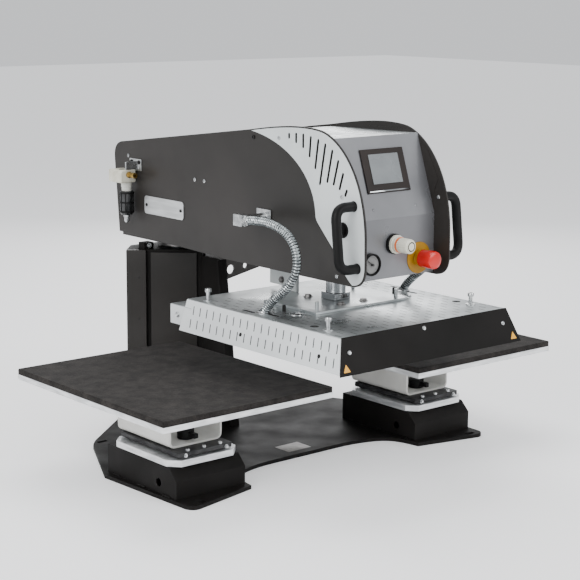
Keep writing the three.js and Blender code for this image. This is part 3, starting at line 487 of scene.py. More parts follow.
sponge = sponge_material()
PAD_CORNER = 3
PAD_RIM = 2.4
PAD_CUTS = (26, 32)
for side, label in SIDES:
    eased(label + "_tray", sawn_aluminium, "base", 0.6)
    low, high = limits(label + "_tray_pad")
    pad = slab(low.x, high.x, low.y, high.y, low.z, high.z)
    upright_edges = [e for e in pad.edges if abs(e.verts[0].co.z - e.verts[1].co.z) > MM]
    rounded(pad, upright_edges, PAD_CORNER, 3)
    rim = [e for e in pad.edges if all(v.co.z > (high.z - 0.1) * MM for v in e.verts)]
    rounded(pad, rim, PAD_RIM, 3)
    top = [f for f in pad.faces if f.normal.z > 0.99]
    bmesh.ops.triangulate(pad, faces=top)
    for axis, cuts in enumerate(PAD_CUTS):
        for cut in range(1, cuts):
            across, at = [0, 0, 0], [0, 0, 0]
            across[axis] = 1
            at[axis] = (low[axis] + (high[axis] - low[axis]) * cut / cuts) * MM
            everything = pad.verts[:] + pad.edges[:] + pad.faces[:]
            bmesh.ops.bisect_plane(pad, geom=everything, plane_co=at, plane_no=across)
    bmesh.ops.dissolve_degenerate(pad, dist=0.01 * MM, edges=pad.edges)
    # The pressed face has sunk by a few tenths of a millimetre, and unevenly.
    for v in pad.verts:
        if v.co.z > (high.z - 0.1) * MM:
            v.co.z -= (0.25 + 0.35 * noise.noise(v.co * 22)) * MM
    node = label + "_tray_pad"
    made = placed(pad, label + "_foam_pad", sponge, "base", (node,), smooth=60)


# ---- column ----
# A welded post with bolted cover sheets, a cable duct on its left corner, a flanged rib down
# the front and a lightened bracket, all powder coated. The spindle is ground bright.
# The upright sheets and the arm have the same powder as the post; this copy of it is painted
# greyer, as painted light where light falls along them.
lit_powder_coat = surfaced(
    "black_powder_coat_painted_greyer", "22201E", "2E2B29", 0.38, 260, 1.0, 0.1, shine=0.3
)
for part, material, width in (
    ("post", powder_coat, 0.8),
    ("left_cover", lit_powder_coat, 0.6),
    ("right_cover", lit_powder_coat, 0.6),
    ("cable_duct", lit_powder_coat, 1.2),
    ("rib", powder_coat, 0.8),
    ("side_bracket", lit_powder_coat, 0.8),
):
    eased("column_" + part, material, "base", width)
# Hard chrome over ground steel: almost a mirror.
hard_chrome = surfaced("hard_chrome_steel", "9EA1A3", "BABDBF", 0.13, 40, 1.0, 0.02, metallic=1.0)
eased("swing_spindle", hard_chrome, "base", 0.6)

DUCT_FACE = Vector((-0.6436, -0.7654, 0))
DUCT_MID = Vector((-113.5, 0.5, 0))
screws = [
    socket_screw(DUCT_MID + Vector((0, 0, z)) + DUCT_FACE * 1.2, DUCT_FACE, 2.6, 1.2)
    for z in (234, 328)
]
placed(screws, "duct_screws", black_oxide, "base")
lug_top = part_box("column_post")[1][2] / MM
lug_bolt = hex_bolt((-84, 1.4, lug_top - 7), (0, -1, 0), 4.6, 4)
placed(lug_bolt, "stop_lug_bolt", zinc_plate, "base")


# ---- arm side plates and overlays ----
# Two laser-cut 3 mm plates carry the head, screwed to the sheets between them. A thin overlay
# is bonded to the front of each, and vent slots fan through both.
SHOULDER = (-394, 686)
NOSE_Y = -737
CREST_Z = 705
CHIN_Z = 412
# Each vent runs from one (Y, Z) point to another.
VENTS = (
    (-515, 685, -515, 679), (-536, 687, -536, 672), (-557, 687, -557, 664),
    (-579, 684, -576, 648), (-601, 680, -593, 627), (-621, 673, -607, 598),
    (-641, 663, -628, 604), (-658, 645, -646, 601), (-672, 622, -663, 594),
    (-683, 592, -679, 583),
)
# The start button's centre and the radius of its hole.
BUTTON = (-674, 517, 11.5)


def arm_front(inset):
    """The crest, nose and chin of the arm, from the shoulder to the floor, moved in by an inset."""
    nose = NOSE_Y + inset
    crest = CREST_Z - inset
    start = SHOULDER if inset == 0 else (SHOULDER[0] - 4, SHOULDER[1] - 2)
    brow = swept([start, (-480, crest - 5), (-560, crest + 3), (-612, crest - 7)], 16)
    face_line = swept([(-612, crest - 7), (-664, crest - 20), (nose + 6, 622), (nose + 1, 507)], 22)
    chin = swept([(nose, 452), (nose, CHIN_Z + 3 + inset), (-702, CHIN_Z + inset)], 12)
    return brow[1:] + face_line[1:] + chin


def vent_holes(half):
    """The round-ended vent slots and the start button's hole."""
    loops = []
    for y0, z0, y1, z1 in VENTS:
        heading = math.degrees(math.atan2(z1 - z0, y1 - y0))
        loops.append(
            arc((y1, z1), half, heading - 90, heading + 90, 4)
            + arc((y0, z0), half, heading + 90, heading + 270, 4)
        )
    loops.append(arc(BUTTON[:2], BUTTON[2], 0, 345, 23))
    return loops


plate_outline = [(76, 423), *swept([(92, 593), (92, 625), (55, 627)], 10), SHOULDER]
plate_outline += [*arm_front(0), (-315, 412), (-121, 418)]
overlay_outline = [*arm_front(3), *swept([(-702, 415), (-678, 430), (-646, 478)], 8)[1:]]
overlay_outline += swept([(-602, 522), (-596, 528), (-595, 537)], 5)
overlay_outline += swept([(-595, 537), (-590, 607), (-520, 668), (-398, 684)], 18)[1:]
# Light grey polyester paint on the overlay.
light_grey_paint = surfaced("light_grey_paint", "BFC4C4", "CDD2D2", 0.38, 160, 1.2, 0.05)
SHADE_SHEET = (
    (-505, 690), (-505, 655), (-560, 640), (-600, 585),
    (-690, 572), (-703, 600), (-672, 655), (-620, 692),
)
SHADE_SHEET_T = 0.8
ARM_X = 112
# How far each screw's seat stands out from the plate, and its Y and Z. Two are on the overlay.
PLATE_SCREWS = (
    (1.1, -485, 675), (1.1, -670, 579), (0, -658, 426),
    (0, 36, 597), (0, -209, 567), (0, -242, 567),
)
for side, label in SIDES:
    for part, edge, half, material, slot_name, width in (
        ("_side_plate", plate_outline, 3.0, lit_powder_coat, "black_paint", 0.5),
        ("_side_overlay", overlay_outline, 2.9, light_grey_paint, "grey_paint", 0.25),
    ):
        node = label + part
        low, high = limits(node)
        sheet = plate(edge, vent_holes(half), low.x, high.x, "YZ")
        placed(sheet, node + "_finished", material, "arm", (node,), width)
    # A thin dark sheet stands behind the vents as painted shade, so the vents look dark and nothing
    # shows through them.
    inside = side * (ARM_X - 3)
    shade_sheet = plate(SHADE_SHEET, [], *sorted((inside, inside - side * SHADE_SHEET_T)), "YZ")
    placed(shade_sheet, label + "_vent_shade_sheet", lit_powder_coat, "arm")
    out = (side, 0, 0)
    skin = side * ARM_X
    bright = [
        socket_screw((skin + side * proud, y, z), out, 4.0, 1.8) for proud, y, z in PLATE_SCREWS
    ]
    placed(bright, label + "_plate_screws", zinc_plate, "arm")
    dark = socket_screw((skin, -404, 671), out, 4.4, 2.0)
    placed(dark, label + "_plate_black_screw", black_oxide, "arm")


# ---- arm sheets ----
# The floor, the dark rear cover folded down the back, the slotted zinc sheet over the valves
# and the hub that turns on the spindle.
eased("arm_floor", lit_powder_coat, "arm", 0.6)
eased("arm_rear_cover", lit_powder_coat, "arm", 0.5)
eased("arm_hub", ground_steel, "arm", 0.8)


def galvanised(name, low, high):
    """Hot-dipped zinc: a faint spangle of 12 mm crystals, each turned its own way."""
    made = surfaced(name, low, high, 0.32, 60, 1.0, 0.05, metallic=0.9)
    tree = made.node_tree
    shader = tree.nodes["Principled BSDF"]
    place = add(tree, "ShaderNodeTexCoord").outputs["Object"]
    crystals = add(tree, "ShaderNodeTexVoronoi", {"Vector": place, "Scale": 85.0})
    shade = add(tree, "ShaderNodeMapRange", {"Value": crystals.outputs["Color"], "To Min": 0.9})
    tone = shader.inputs["Base Color"].links[0].from_socket
    layers = {0: 1.0, 6: tone, 7: shade.outputs["Result"]}
    mix = add(tree, "ShaderNodeMix", layers, data_type="RGBA", blend_type="MULTIPLY")
    tree.links.new(mix.outputs[2], shader.inputs["Base Color"])
    return made


galvanised_sheet = galvanised("galvanised_sheet", "A9AEAF", "C6CACB")
eased("arm_top_grille", galvanised_sheet, "arm", 0.4)
eased("air_cylinder", ground_steel, "arm", 0.8)


# ---- control panel ----
# A sheet folded where the display part leans back, sprayed silver-grey over fine blasting,
# with a touch panel in a black bezel and two blind rivets below it.
silver_paint = surfaced(
    "silver_grey_enamel", "707174", "828386", 0.32, 260, 1.0, 0.06, metallic=0.45
)
eased("control_panel", silver_paint, "arm", 0.5)
# The bezel is ABS with a printed film; the screen is a switched-off display behind plastic.
brown_black_film = surfaced("bezel_film_on_abs", "1E1816", "28211E", 0.4, 60, 1.1, 0.03, shine=0.2)
eased("display_bezel", brown_black_film, "arm", 1.0, 3)
display_film = surfaced("display_film", "686C6E", "7A7E80", 0.25, 80, 1.2, 0.02, shine=0.4)
eased("display_screen", display_film, "arm", 0.4)
# The panel's upright face, and how far its upper part leans back between its fold and its top.
PANEL_Y = -695
PANEL_FOLD = 533
PANEL_TOP = 686
PANEL_RUN = 52
LEAN = math.atan2(PANEL_RUN, PANEL_TOP - PANEL_FOLD)


def on_display(bm, x, z, out):
    """Puts a piece drawn facing -Y, centred on the origin, on the leaning part of the panel."""
    y = PANEL_Y + (z - PANEL_FOLD) / (PANEL_TOP - PANEL_FOLD) * PANEL_RUN
    shift = Vector((x, y - out * math.cos(LEAN), z + out * math.sin(LEAN))) * MM
    bm.transform(Matrix.Translation(shift) @ Matrix.Rotation(-LEAN, 4, "X"))
    return bm


strip = slab(-52, 52, -0.5, 0.5, -1.3, 1.3, 0.35)
placed(on_display(strip, 0, 583.5, 3.6), "display_trim", hard_chrome, "arm")
rivet = [(0, 0), (3, 0), (2.6, 0.8), (1.2, 1.3), (0, 1.4)]
rivets = [
    on_display(aimed(turned(rivet, 20), (0, 0, 0), (0, -1, 0)), x, 551, 0) for x in (-50, 62)
]
placed(rivets, "panel_rivets", silver_paint, "arm")
inner_rivet = turned([(0, 0), (4.2, 0), (3.6, 1.2), (1.6, 1.8), (0, 1.9)], 20)
inner_rivet = aimed(inner_rivet, (108.9, -704, 565), (-1, 0, 0))
placed(inner_rivet, "nose_rivet", zinc_plate, "arm")


# ---- handles and start buttons ----
# Each handle is a bent 19 mm bar, sleeved in matt black plastic, on flat feet. The start
# button inside it is a flush black cap in a threaded ring.
def piped(path, radius, swells=None, rings=16):
    """A round bar along points in millimetres. Swells scale the radius at each point."""
    route = bpy.data.curves.new("route", "CURVE")
    route.dimensions = "3D"
    route.bevel_depth = radius * MM
    route.bevel_resolution = rings // 4
    route.use_fill_caps = True
    spline = route.splines.new("POLY")
    spline.points.add(len(path) - 1)
    for i, here in enumerate(path):
        spline.points[i].co = (*(Vector(here) * MM), 1)
        spline.points[i].radius = swells[i] if swells else 1
    carrier = bpy.data.objects.new("route", route)
    bpy.context.collection.objects.link(carrier)
    bpy.context.view_layer.update()
    bm = bmesh.new()
    mesh = carrier.evaluated_get(bpy.context.evaluated_depsgraph_get()).to_mesh()
    bm.from_mesh(mesh)
    bpy.data.objects.remove(carrier)
    bpy.data.curves.remove(route)
    bmesh.ops.remove_doubles(bm, verts=bm.verts, dist=0.01 * MM)
    bmesh.ops.recalc_face_normals(bm, faces=bm.faces)
    return bm


def bent(a, corner, b, steps=8):
    """Points round a smooth bend from a to b, drawn towards its corner."""
    a, corner, b = Vector(a), Vector(corner), Vector(b)
    return [
        a * (1 - t) ** 2 + corner * 2 * t * (1 - t) + b * t**2
        for t in (i / steps for i in range(steps + 1))
    ]


HANDLE_R = 9.5
HANDLE_REACH = 45
HANDLE_BEND = 24
HANDLE_Y = -703
HANDLE_Z = (449, 565)
for side, label in SIDES:
    root = side * 113.6
    bar_x = root + side * HANDLE_REACH
    near_x = bar_x - side * HANDLE_BEND
    low_y = HANDLE_Y - 12
    bottom, top = HANDLE_Z
    path = [Vector((root, HANDLE_Y, top))]
    below, above = top - HANDLE_BEND, bottom + HANDLE_BEND
    path += bent((near_x, HANDLE_Y, top), (bar_x, HANDLE_Y, top), (bar_x, HANDLE_Y - 2, below))
    path += bent((bar_x, low_y + 2, above), (bar_x, low_y, bottom), (near_x, low_y, bottom))
    path.append(Vector((root, low_y, bottom)))
    foot = [(0, 0), (10.3, 0), (10.3, 1.4), (9.6, 2.2), (0, 2.2)]
    feet = [
        aimed(turned(foot), (root, y, z), (side, 0, 0))
        for y, z in ((HANDLE_Y, top), (low_y, bottom))
    ]
    handle = [piped(path, HANDLE_R, rings=20), *feet]
    node = label + "_handle"
    placed(handle, node + "_finished", nylon, "arm", (node,))
    ring_profile = [(11.6, 0), (15, 0), (15, 2.2), (14, 3), (11.6, 3), (11.6, 0)]
    ring = aimed(turned(ring_profile, 32), (side * 113.4, BUTTON[0], BUTTON[1]), (side, 0, 0))
    placed(ring, label + "_start_ring", nylon, "arm")
    node = label + "_start_button"
    eased(node, nylon, label + "_start", 1.4, 3)


# ---- gauge ----
# A 43 mm pressure gauge in a black steel can, with a white dial, plain graduations and a
# moving pointer.
def on_panel(node, backing):
    """The centre of a round CAD node, at the rear face of the piece behind it."""
    low, high = limits(node)
    return Vector(((low.x + high.x) / 2, limits(backing)[1].y, (low.z + high.z) / 2))


def faced(profile, sides, at):
    """A turned piece at a point in millimetres, facing the operator."""
    return aimed(turned(profile, sides), at, FACING)


FACING = (0, -1, 0)
gauge_at = on_panel("gauge_case", "gauge_case")
can = [(0, 0), (21.5, 0), (21.5, 7.8), (20.6, 9), (18.8, 8.8), (17.6, 7), (17.4, 5), (0, 5)]
placed(faced(can, 48, gauge_at), "gauge_can", nylon, "arm", ("gauge_case",))
# The white dial is painted grey: painted shade on it.
white_dial_painted_shade = surfaced("white_dial_painted_shade", "6C6C6B", "7E7E7D", 0.4, 30, 1.2, 0.02)
dial = [(0, 5.02), (17.3, 5.02), (17.3, 5.2), (0, 5.2)]
placed(faced(dial, 40, gauge_at), "gauge_dial", white_dial_painted_shade, "arm")
ticks = []
TICKS = 30
for i in range(TICKS + 1):
    angle = math.radians(-45 + 270 * i / TICKS)
    length = 3.4 if i % 5 == 0 else 1.8
    mark = slab(15.6 - length, 15.6, -0.24, 0.24, 5.2, 5.34)
    mark.transform(Matrix.Rotation(angle, 4, "Z"))
    ticks.append(aimed(mark, gauge_at, FACING))
dial_ink = surfaced("dial_ink", "1A1A1A", "262626", 0.5, 20, 1.0, 0.02)
placed(ticks, "gauge_marks", dial_ink, "arm")
eased("gauge_needle", dial_ink, "gauge_pointer", 0.2)


# ---- regulator ----
# The air regulator comes through the panel in a black nut. Its knob is cream plastic with
# grip flutes, and an orange ring shows when it is pulled out to turn.
regulator_at = on_panel("regulator_knob", "regulator_body")
cream_abs = surfaced("moulded_cream_abs", "CFCDBD", "DEDCCE", 0.36, 30, 1.0, 0.04)
orange_ring = surfaced("orange_acetal", "DD6A35", "E87C48", 0.35, 20, 1.0, 0.03)
nut = faced([(0, 0), (20, 0), (20, 5), (18.5, 7), (0, 7)], 12, regulator_at)
placed(nut, "regulator_nut", nylon, "arm", ("regulator_body",))
skirt = [(0, 7), (18, 7), (18, 12), (17, 13), (16, 13), (16, 18.4), (0, 18.4)]
placed(faced(skirt, 36, regulator_at), "regulator_skirt", cream_abs, "arm")
collar = [(0, 18.4), (15, 18.4), (15, 21.8), (0, 21.8)]
placed(faced(collar, 36, regulator_at), "regulator_ring", orange_ring, "arm")
KNOB_FLUTES = 20
knob = [(0, 22.3), (14.5, 22.3), (14.5, 44), (13.4, 47.5), (11, 48), (10.6, 50), (0, 50)]
knob = turned(knob, 2 * KNOB_FLUTES)
for v in knob.verts:
    turn_no = round(math.atan2(v.co.y, v.co.x) / math.pi * KNOB_FLUTES)
    if turn_no % 2 and 23 * MM < v.co.z + MM and v.co.z < 46 * MM:
        v.co.xy *= 0.94
knob = aimed(knob, regulator_at, FACING)
node = "regulator_knob"
placed(knob, node + "_finished", cream_abs, "regulator", (node,), 0.3)
cap = [(0, 49.9), (9.4, 49.9), (9.4, 50), (7.2, 50), (7.2, 49.3), (0, 49.3)]
grey_cap = surfaced("moulded_grey_abs", "8B8D8C", "9C9E9D", 0.4, 20, 1.0, 0.05)
placed(faced(cap, 32, regulator_at), "regulator_cap", grey_cap, "regulator")


# ---- emergency stop ----
# A plain yellow disc and sleeve, moulded in ABS, and a glossy red domed mushroom in
# polycarbonate, which slides in the sleeve.
stop_at = on_panel("stop_disc", "stop_disc")
yellow_abs = surfaced("moulded_yellow_abs", "94690A", "AC7D12", 0.4, 30, 1.0, 0.05, shine=0.3)
red_plastic = surfaced("glossy_red_polycarbonate", "BE0D08", "CC1710", 0.16, 40, 1.2, 0.02)
disc = [(0, 0), (31, 0), (31, 1.4), (30.3, 2), (17, 2), (17, 1.6), (0, 1.6)]
placed(faced(disc, 56, stop_at), "stop_plate", yellow_abs, "arm", ("stop_disc",))
sleeve = [(10.6, 2.3), (15, 2.3), (15, 4), (14.2, 5), (14.2, 20.5), (13.4, 22.3), (10.6, 22.3)]
sleeve = faced(sleeve + sleeve[:1], 40, stop_at)
placed(sleeve, "stop_sleeve", yellow_abs, "arm", ("stop_collar",))
stem = [(0, 17.4), (10, 17.4), (10, 27.6), (15.6, 27.6), (15.6, 13), (16.6, 12), (17.6, 13)]
dome = [(17.2, 24), (18, 31), (17.7, 42.6), (16.6, 45.4), (13.6, 47), (9, 47.5), (0, 47.6)]
mushroom = faced(stem + dome, 48, stop_at)
placed(mushroom, "stop_mushroom", red_plastic, "stop", ("stop_button",))


# ---- name plate and air filter ----
# A blank brushed plate. Behind it, the air filter hangs from a steel
# bracket: a zinc-cast head, a clear bowl in a black guard, and a brass inlet.
plate_low, plate_high = limits("name_plate")
CORNER_R = 7
y0, y1 = plate_low.y + CORNER_R, plate_high.y - CORNER_R
z0, z1 = plate_low.z + CORNER_R, plate_high.z - CORNER_R
corners = []
for corner, start in (((y1, z1), 0), ((y0, z1), 90), ((y0, z0), 180), ((y1, z0), 270)):
    corners += arc(corner, CORNER_R, start, start + 90, 5)
brushed = {"metallic": 0.8, "lines": (4, 0.4, 4)}
brushed_plate = surfaced(
    "brushed_anodised_aluminium", "C4C6C6", "DDDFDF", 0.3, 30, 1.0, 0.08, **brushed
)
blank = plate(corners, [], plate_low.x, plate_high.x, "YZ")
placed(blank, "blank_name_plate", brushed_plate, "arm", ("name_plate",), 0.5)
pins = [
    socket_screw((plate_low.x - 0.1, y, 495), (-1, 0, 0), 3.4, 1.2)
    for y in (plate_low.y + 9, plate_high.y - 9)
]
placed(pins, "name_plate_pins", black_oxide, "arm")
eased("filter_bracket", zinc_plate, "arm", 0.8)
bracket_screws = [hex_bolt((-114.3, y, 585), (-1, 0, 0), 3.4, 3.2) for y in (-6, 22)]
placed(bracket_screws, "filter_bracket_screws", black_oxide, "arm")

FILTER_X = -138.3
FILTER_Y = 24
zinc_casting = surfaced("painted_zinc_casting", "C3C0AF", "D8D5C6", 0.4, 16, 1.4, 0.2)
body = slab(FILTER_X - 20, FILTER_X + 20, FILTER_Y - 25, FILTER_Y + 25, 541, 569, 3.5, 3)
placed(body, "filter_head", zinc_casting, "arm", ("air_filter",))
bowl_at = (FILTER_X + 6, FILTER_Y - 8, 0)
neck = [(0, 541.5), (12, 541.5), (12, 531), (11, 530), (11, 522), (0, 522)]
clear_neck = surfaced("clear_polycarbonate_neck", "B9B9B2", "D2D2CB", 0.2, 20, 1.5, 0.03)
placed(stood(neck, 36, bowl_at), "filter_neck", clear_neck, "arm")
bowl = [(0, 522), (13, 522), (15, 520), (15, 474), (12, 469), (0, 468)]
drain = [(0, 468), (7.5, 468), (7.5, 464), (6, 463), (6, 456), (4, 452), (0, 452)]
placed(stood(drain, 24, bowl_at), "filter_drain", zinc_plate, "arm")
smoked_bowl = surfaced("smoked_polycarbonate", "1E1F20", "2C2D2E", 0.16, 20, 1.5, 0.02)
placed(stood(bowl, 36, bowl_at), "filter_bowl", smoked_bowl, "arm")
hoop = [(14.6, 0), (16.2, 0), (16.2, 3), (14.6, 3), (14.6, 0)]
guard = [stood([(r, z + rise) for r, rise in hoop], 32, bowl_at) for z in (474, 495, 516)]
for i in range(8):
    rib = slab(14.6, 16.2, -1.2, 1.2, 476, 518)
    rib.transform(Matrix.Rotation(math.radians(45 * i), 4, "Z"))
    guard.append(aimed(rib, bowl_at, UP))
placed(guard, "filter_guard", nylon, "arm")
# Turned brass, dull gold.
turned_brass = surfaced("turned_brass", "9A7B3C", "C2A25A", 0.28, 10, 0.8, 0.05, metallic=1.0)
nipple = [(0, 0), (6.9, 0), (6.9, 5), (5, 6), (5, 14), (6.4, 15), (6.4, 25)]
nipple += [(3, 25), (3, 10), (0, 10)]
nipple = faced(nipple, 12, (FILTER_X, FILTER_Y - 25, 559))
placed(nipple, "filter_inlet", turned_brass, "arm")
cap = stood([(0, 569), (9, 569), (9, 570), (8, 571), (0, 571)], 24, (FILTER_X, FILTER_Y, -2))
placed(cap, "filter_top_cap", nylon, "arm")


# ---- conduits ----
# Flexible wire conduits run from an elbow on each side plate to the head. Each is wound from
# bright strip steel, so it is ribbed.
ROUTE = (
    (172, -457, 515), (173, -488, 518), (174, -520, 519), (176, -550, 516),
    (177, -576, 509), (178, -598, 497), (179, -613, 479), (180, -620, 458),
    (181, -618, 436), (183, -606, 414), (184, -588, 396), (185, -566, 380),
    (186, -548, 365), (187, -536, 352), (187, -530, 345),
)
groove_painted_shade = surfaced("shaded_groove_steel", "3A3C3D", "505354", 0.4, 8, 0.8, 0.05, metallic=0.7)
wound_steel = surfaced(
    "wound_galvanised_strip", "8C9294", "C2C7C8", 0.2, 8, 0.8, 0.05, metallic=1.0
)
CONDUIT_R = 9
# The hose's radius at each of eight steps along one rib, and below which it counts as groove.
RIB_PITCH = 5.6
RIB_SWELLS = (0.8, 0.8, 0.86, 0.96, 1.0, 1.0, 0.97, 0.88)
GROOVE_BELOW = 0.87
RIB_STEP = RIB_PITCH / len(RIB_SWELLS)
CURVE_STEPS = 24
for side, label in SIDES:
    points = [Vector((side * x, y, z)) for x, y, z in ROUTE]
    fine = []
    for i in range(len(points) - 1):
        p0 = points[max(i - 1, 0)]
        p1, p2 = points[i], points[i + 1]
        p3 = points[min(i + 2, len(points) - 1)]
        for step in range(CURVE_STEPS):
            t = step / CURVE_STEPS
            bow = p0 * 2 - p1 * 5 + p2 * 4 - p3
            twist = p1 * 3 - p0 - p2 * 3 + p3
            fine.append((p1 * 2 + (p2 - p0) * t + bow * t * t + twist * t**3) / 2)
    fine.append(points[-1])
    route, swells, walked = [fine[0]], [RIB_SWELLS[0]], 0.0
    target = RIB_STEP
    for a, b in zip(fine, fine[1:]):
        walked += (b - a).length
        while walked >= target:
            back = (walked - target) / (b - a).length
            route.append(b + (a - b) * back)
            swells.append(RIB_SWELLS[round(target / RIB_STEP) % len(RIB_SWELLS)])
            target += RIB_STEP
    hose = piped(route, CONDUIT_R, swells, 12)
    node = label + "_conduit"
    made = placed(hose, node + "_finished", wound_steel, None, (node,), smooth=60)
    # Painted shade in the grooves of the winding.
    made.data.materials.append(groove_painted_shade)
    along = kdtree.KDTree(len(route))
    for i, here in enumerate(route):
        along.insert(here * MM, i)
    along.balance()
    for face in made.data.polygons:
        nearest = along.find(face.center)[1]
        if swells[nearest] < GROOVE_BELOW:
            face.material_index = 1
    start, end = (side * 0.176, -0.55, 0.5), (side * 0.187, -0.536, 0.352)
    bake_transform(made)
    eased(label + "_conduit_elbow", zinc_plate, "arm", 1.2)
    gland = [(0, 0), (12.5, 0), (12.5, 5), (10.5, 6), (10.5, 11), (9.1, 12), (0, 12)]
    gland = faced(gland, 6, (side * 172, -455.5, 514.8))
    placed(gland, label + "_conduit_gland", zinc_plate, "arm", ease=0.5)


# ---- heater cover ----
# The platen's cover is folded from 2 mm galvanised sheet with leaning walls; a lower box
# behind it holds the wiring. Rows of slots let the heat out, and its walls are painted grey.
cover_low, cover_high = limits("heater_cover")
COVER_LEAN = 21
COVER_Z = 282
COVER_TOP = 344
COVER_REAR = -324
SKIN = 2


def shell(x0, x1, y0, y1, z0, z1, lean, bend):
    """A sheet-metal lid, open underneath, with leaning side and front walls and rounded folds."""
    bm = slab(x0, x1, y0, y1, z0, z1)
    middle = (x0 + x1) / 2 * MM
    for v in bm.verts:
        if v.co.z > (z0 + z1) / 2 * MM:
            v.co.x -= math.copysign(lean * MM, v.co.x - middle)
            if v.co.y < (y0 + y1) / 2 * MM:
                v.co.y += lean * MM
    below = [f for f in bm.faces if f.normal.z < -0.9]
    bmesh.ops.delete(bm, geom=below, context="FACES_ONLY")
    folds = [e for e in bm.edges if len(e.link_faces) == 2]
    rounded(bm, folds, bend, 3)
    bmesh.ops.recalc_face_normals(bm, faces=bm.faces)
    top = max(bm.faces, key=lambda f: f.calc_center_median().z)
    if top.normal.z < 0:
        bmesh.ops.reverse_faces(bm, faces=bm.faces)
    bmesh.ops.solidify(bm, geom=bm.faces[:], thickness=SKIN * MM)
    return bm


lid = shell(cover_low.x, cover_high.x, cover_low.y, COVER_REAR, COVER_Z, COVER_TOP, COVER_LEAN, 2.6)
lid_paint = surfaced("pale_grey_wall_paint", "CBCFD0", "D9DCDD", 0.4, 180, 1.2, 0.05)
wiring_box = shell(-227, 227, -350, cover_high.y, COVER_Z + 6, 328, 0, 2.2)
# The walls are painted; the tops stay bare.
for bm, name, nodes in ((lid, "heater_lid", ("heater_cover",)), (wiring_box, "wiring_box", ())):
    made = placed(bm, name, galvanised_sheet, "heater", nodes, smooth=30)
    made.data.materials.append(lid_paint)
    for face in made.data.polygons:
        if abs(face.normal.z) < 0.6:
            face.material_index = 1


def wall_point(side, y, z):
    """A point on a leaning side wall."""
    lean = COVER_LEAN * (z - COVER_Z) / (COVER_TOP - COVER_Z)
    return Vector((side * (cover_high.x - lean), y, z))


# The slots are not cut through: each is a thin dark inlay, painted shade, that stands a hair above
# the sheet.
slot_shadow = surfaced("slot_shadow", "2E3132", "3C4041", 0.8, 20, 2.0, 0.02)
wall_slot_shadow = surfaced("wall_slot_shadow", "141516", "1E1F20", 0.9, 20, 2.0, 0.02, shine=0.1)
hole_shadow = surfaced("hole_shadow", "0C0C0C", "161616", 0.8, 20, 2.0, 0.02)
WALL_SLOTS = 21
WALL_PITCH = 21.6
WALL_FIRST = -356
WALL_ROWS = ((317, 333), (292, 308))
SLOT_TILT = 0.19
wall_angle = math.atan2(COVER_LEAN, COVER_TOP - COVER_Z)
for side, label in SIDES:
    out = Vector((side * math.cos(wall_angle), 0, math.sin(wall_angle)))
    up_wall = Vector((-side * math.sin(wall_angle), 0, math.cos(wall_angle)))
    turn = Matrix((up_wall, out.cross(up_wall), out)).transposed().to_4x4()
    # The punch leans back a little from square.
    turn = turn @ Matrix.Rotation(-side * SLOT_TILT, 4, "Z")
    slots = []
    for i in range(WALL_SLOTS):
        y = WALL_FIRST - WALL_PITCH * i
        for z0, z1 in WALL_ROWS:
            half = (z1 - z0) / 2
            loop = arc((half, 0), 1.2, -90, 90, 3) + arc((-half, 0), 1.2, 90, 270, 3)
            bm = plate(loop, [], -0.2, 0.08, "XY")
            centre = wall_point(side, y, (z0 + z1) / 2) * MM
            bm.transform(Matrix.Translation(centre) @ turn)
            slots.append(bm)
    placed(slots, label + "_wall_slot_shadows", wall_slot_shadow, "heater")
    # Two round holes in each wall are dark discs: painted shade.
    holes = []
    for y in (-516, -746):
        disc = turned([(0, -0.3), (4, -0.3), (4, 0.4), (3.2, 0.8), (0, 0.3)], 20)
        holes.append(aimed(disc, wall_point(side, y, 305), out))
    placed(holes, label + "_wall_hole_shadows", hole_shadow, "heater")
    bolt = hex_bolt((side * 227, -302, 308), (side, 0, 0), 5, 3.4)
    placed(bolt, label + "_wiring_box_bolt", zinc_plate, "heater")

top_slot_shadows = []
ROW_PITCH = 19
DASH = 17
DASH_PITCH = 34
# No slot is punched near a conduit's foot, a cable hole, a washer disc or a front stud.
FITTINGS = ((187, -530, 34), (190, -683, 22), (146, -568, 34), (190, -722, 20))
for row in range(-11, 12):
    x = row * ROW_PITCH
    for i in range(14):
        y = -380 - i * DASH_PITCH - (DASH_PITCH / 2 if row % 2 else 0)
        near = any(math.hypot(abs(x) - u, y - v) <= reach for u, v, reach in FITTINGS)
        on_plate = abs(x) < 128 and -640 < y < -370
        if near or on_plate or y < -776:
            continue
        loop = slot_loop(x, y, DASH / 2, 0.8, 3)
        top_slot_shadows.append(plate(loop, [], COVER_TOP - 0.2, COVER_TOP + 0.08, "XY"))
placed(top_slot_shadows, "top_slot_shadows", slot_shadow, "heater")


# ---- heater fittings ----
# Levelling studs with socket heads, cable slots round each conduit's foot, and a black screw
# and a washer disc beside it.
studs = []
for side, label in SIDES:
    for x, y in ((190, -722), (196, -364)):
        post = [(0, 0), (10, 0), (10, 1.6), (4, 1.8), (4, 17), (0, 17)]
        studs.append(stood(post, 24, (side * x, y, COVER_TOP)))
        studs.append(socket_screw((side * x, y, COVER_TOP + 17), UP, 6.4, 7))
    foot = [(0, 0), (15.5, 0), (15.5, 1), (12, 2.4), (10.6, 5), (9.2, 5), (9.2, 0)]
    studs.append(stood(foot, 32, (side * 187, -530, COVER_TOP)))
    disc = [(0, 0), (14, 0), (14, 1.2), (12.6, 2), (5, 2), (4.4, 1), (0, 1)]
    studs.append(stood(disc, 36, (side * 146, -579, COVER_TOP)))
placed(studs, "cover_studs", zinc_plate, "heater")
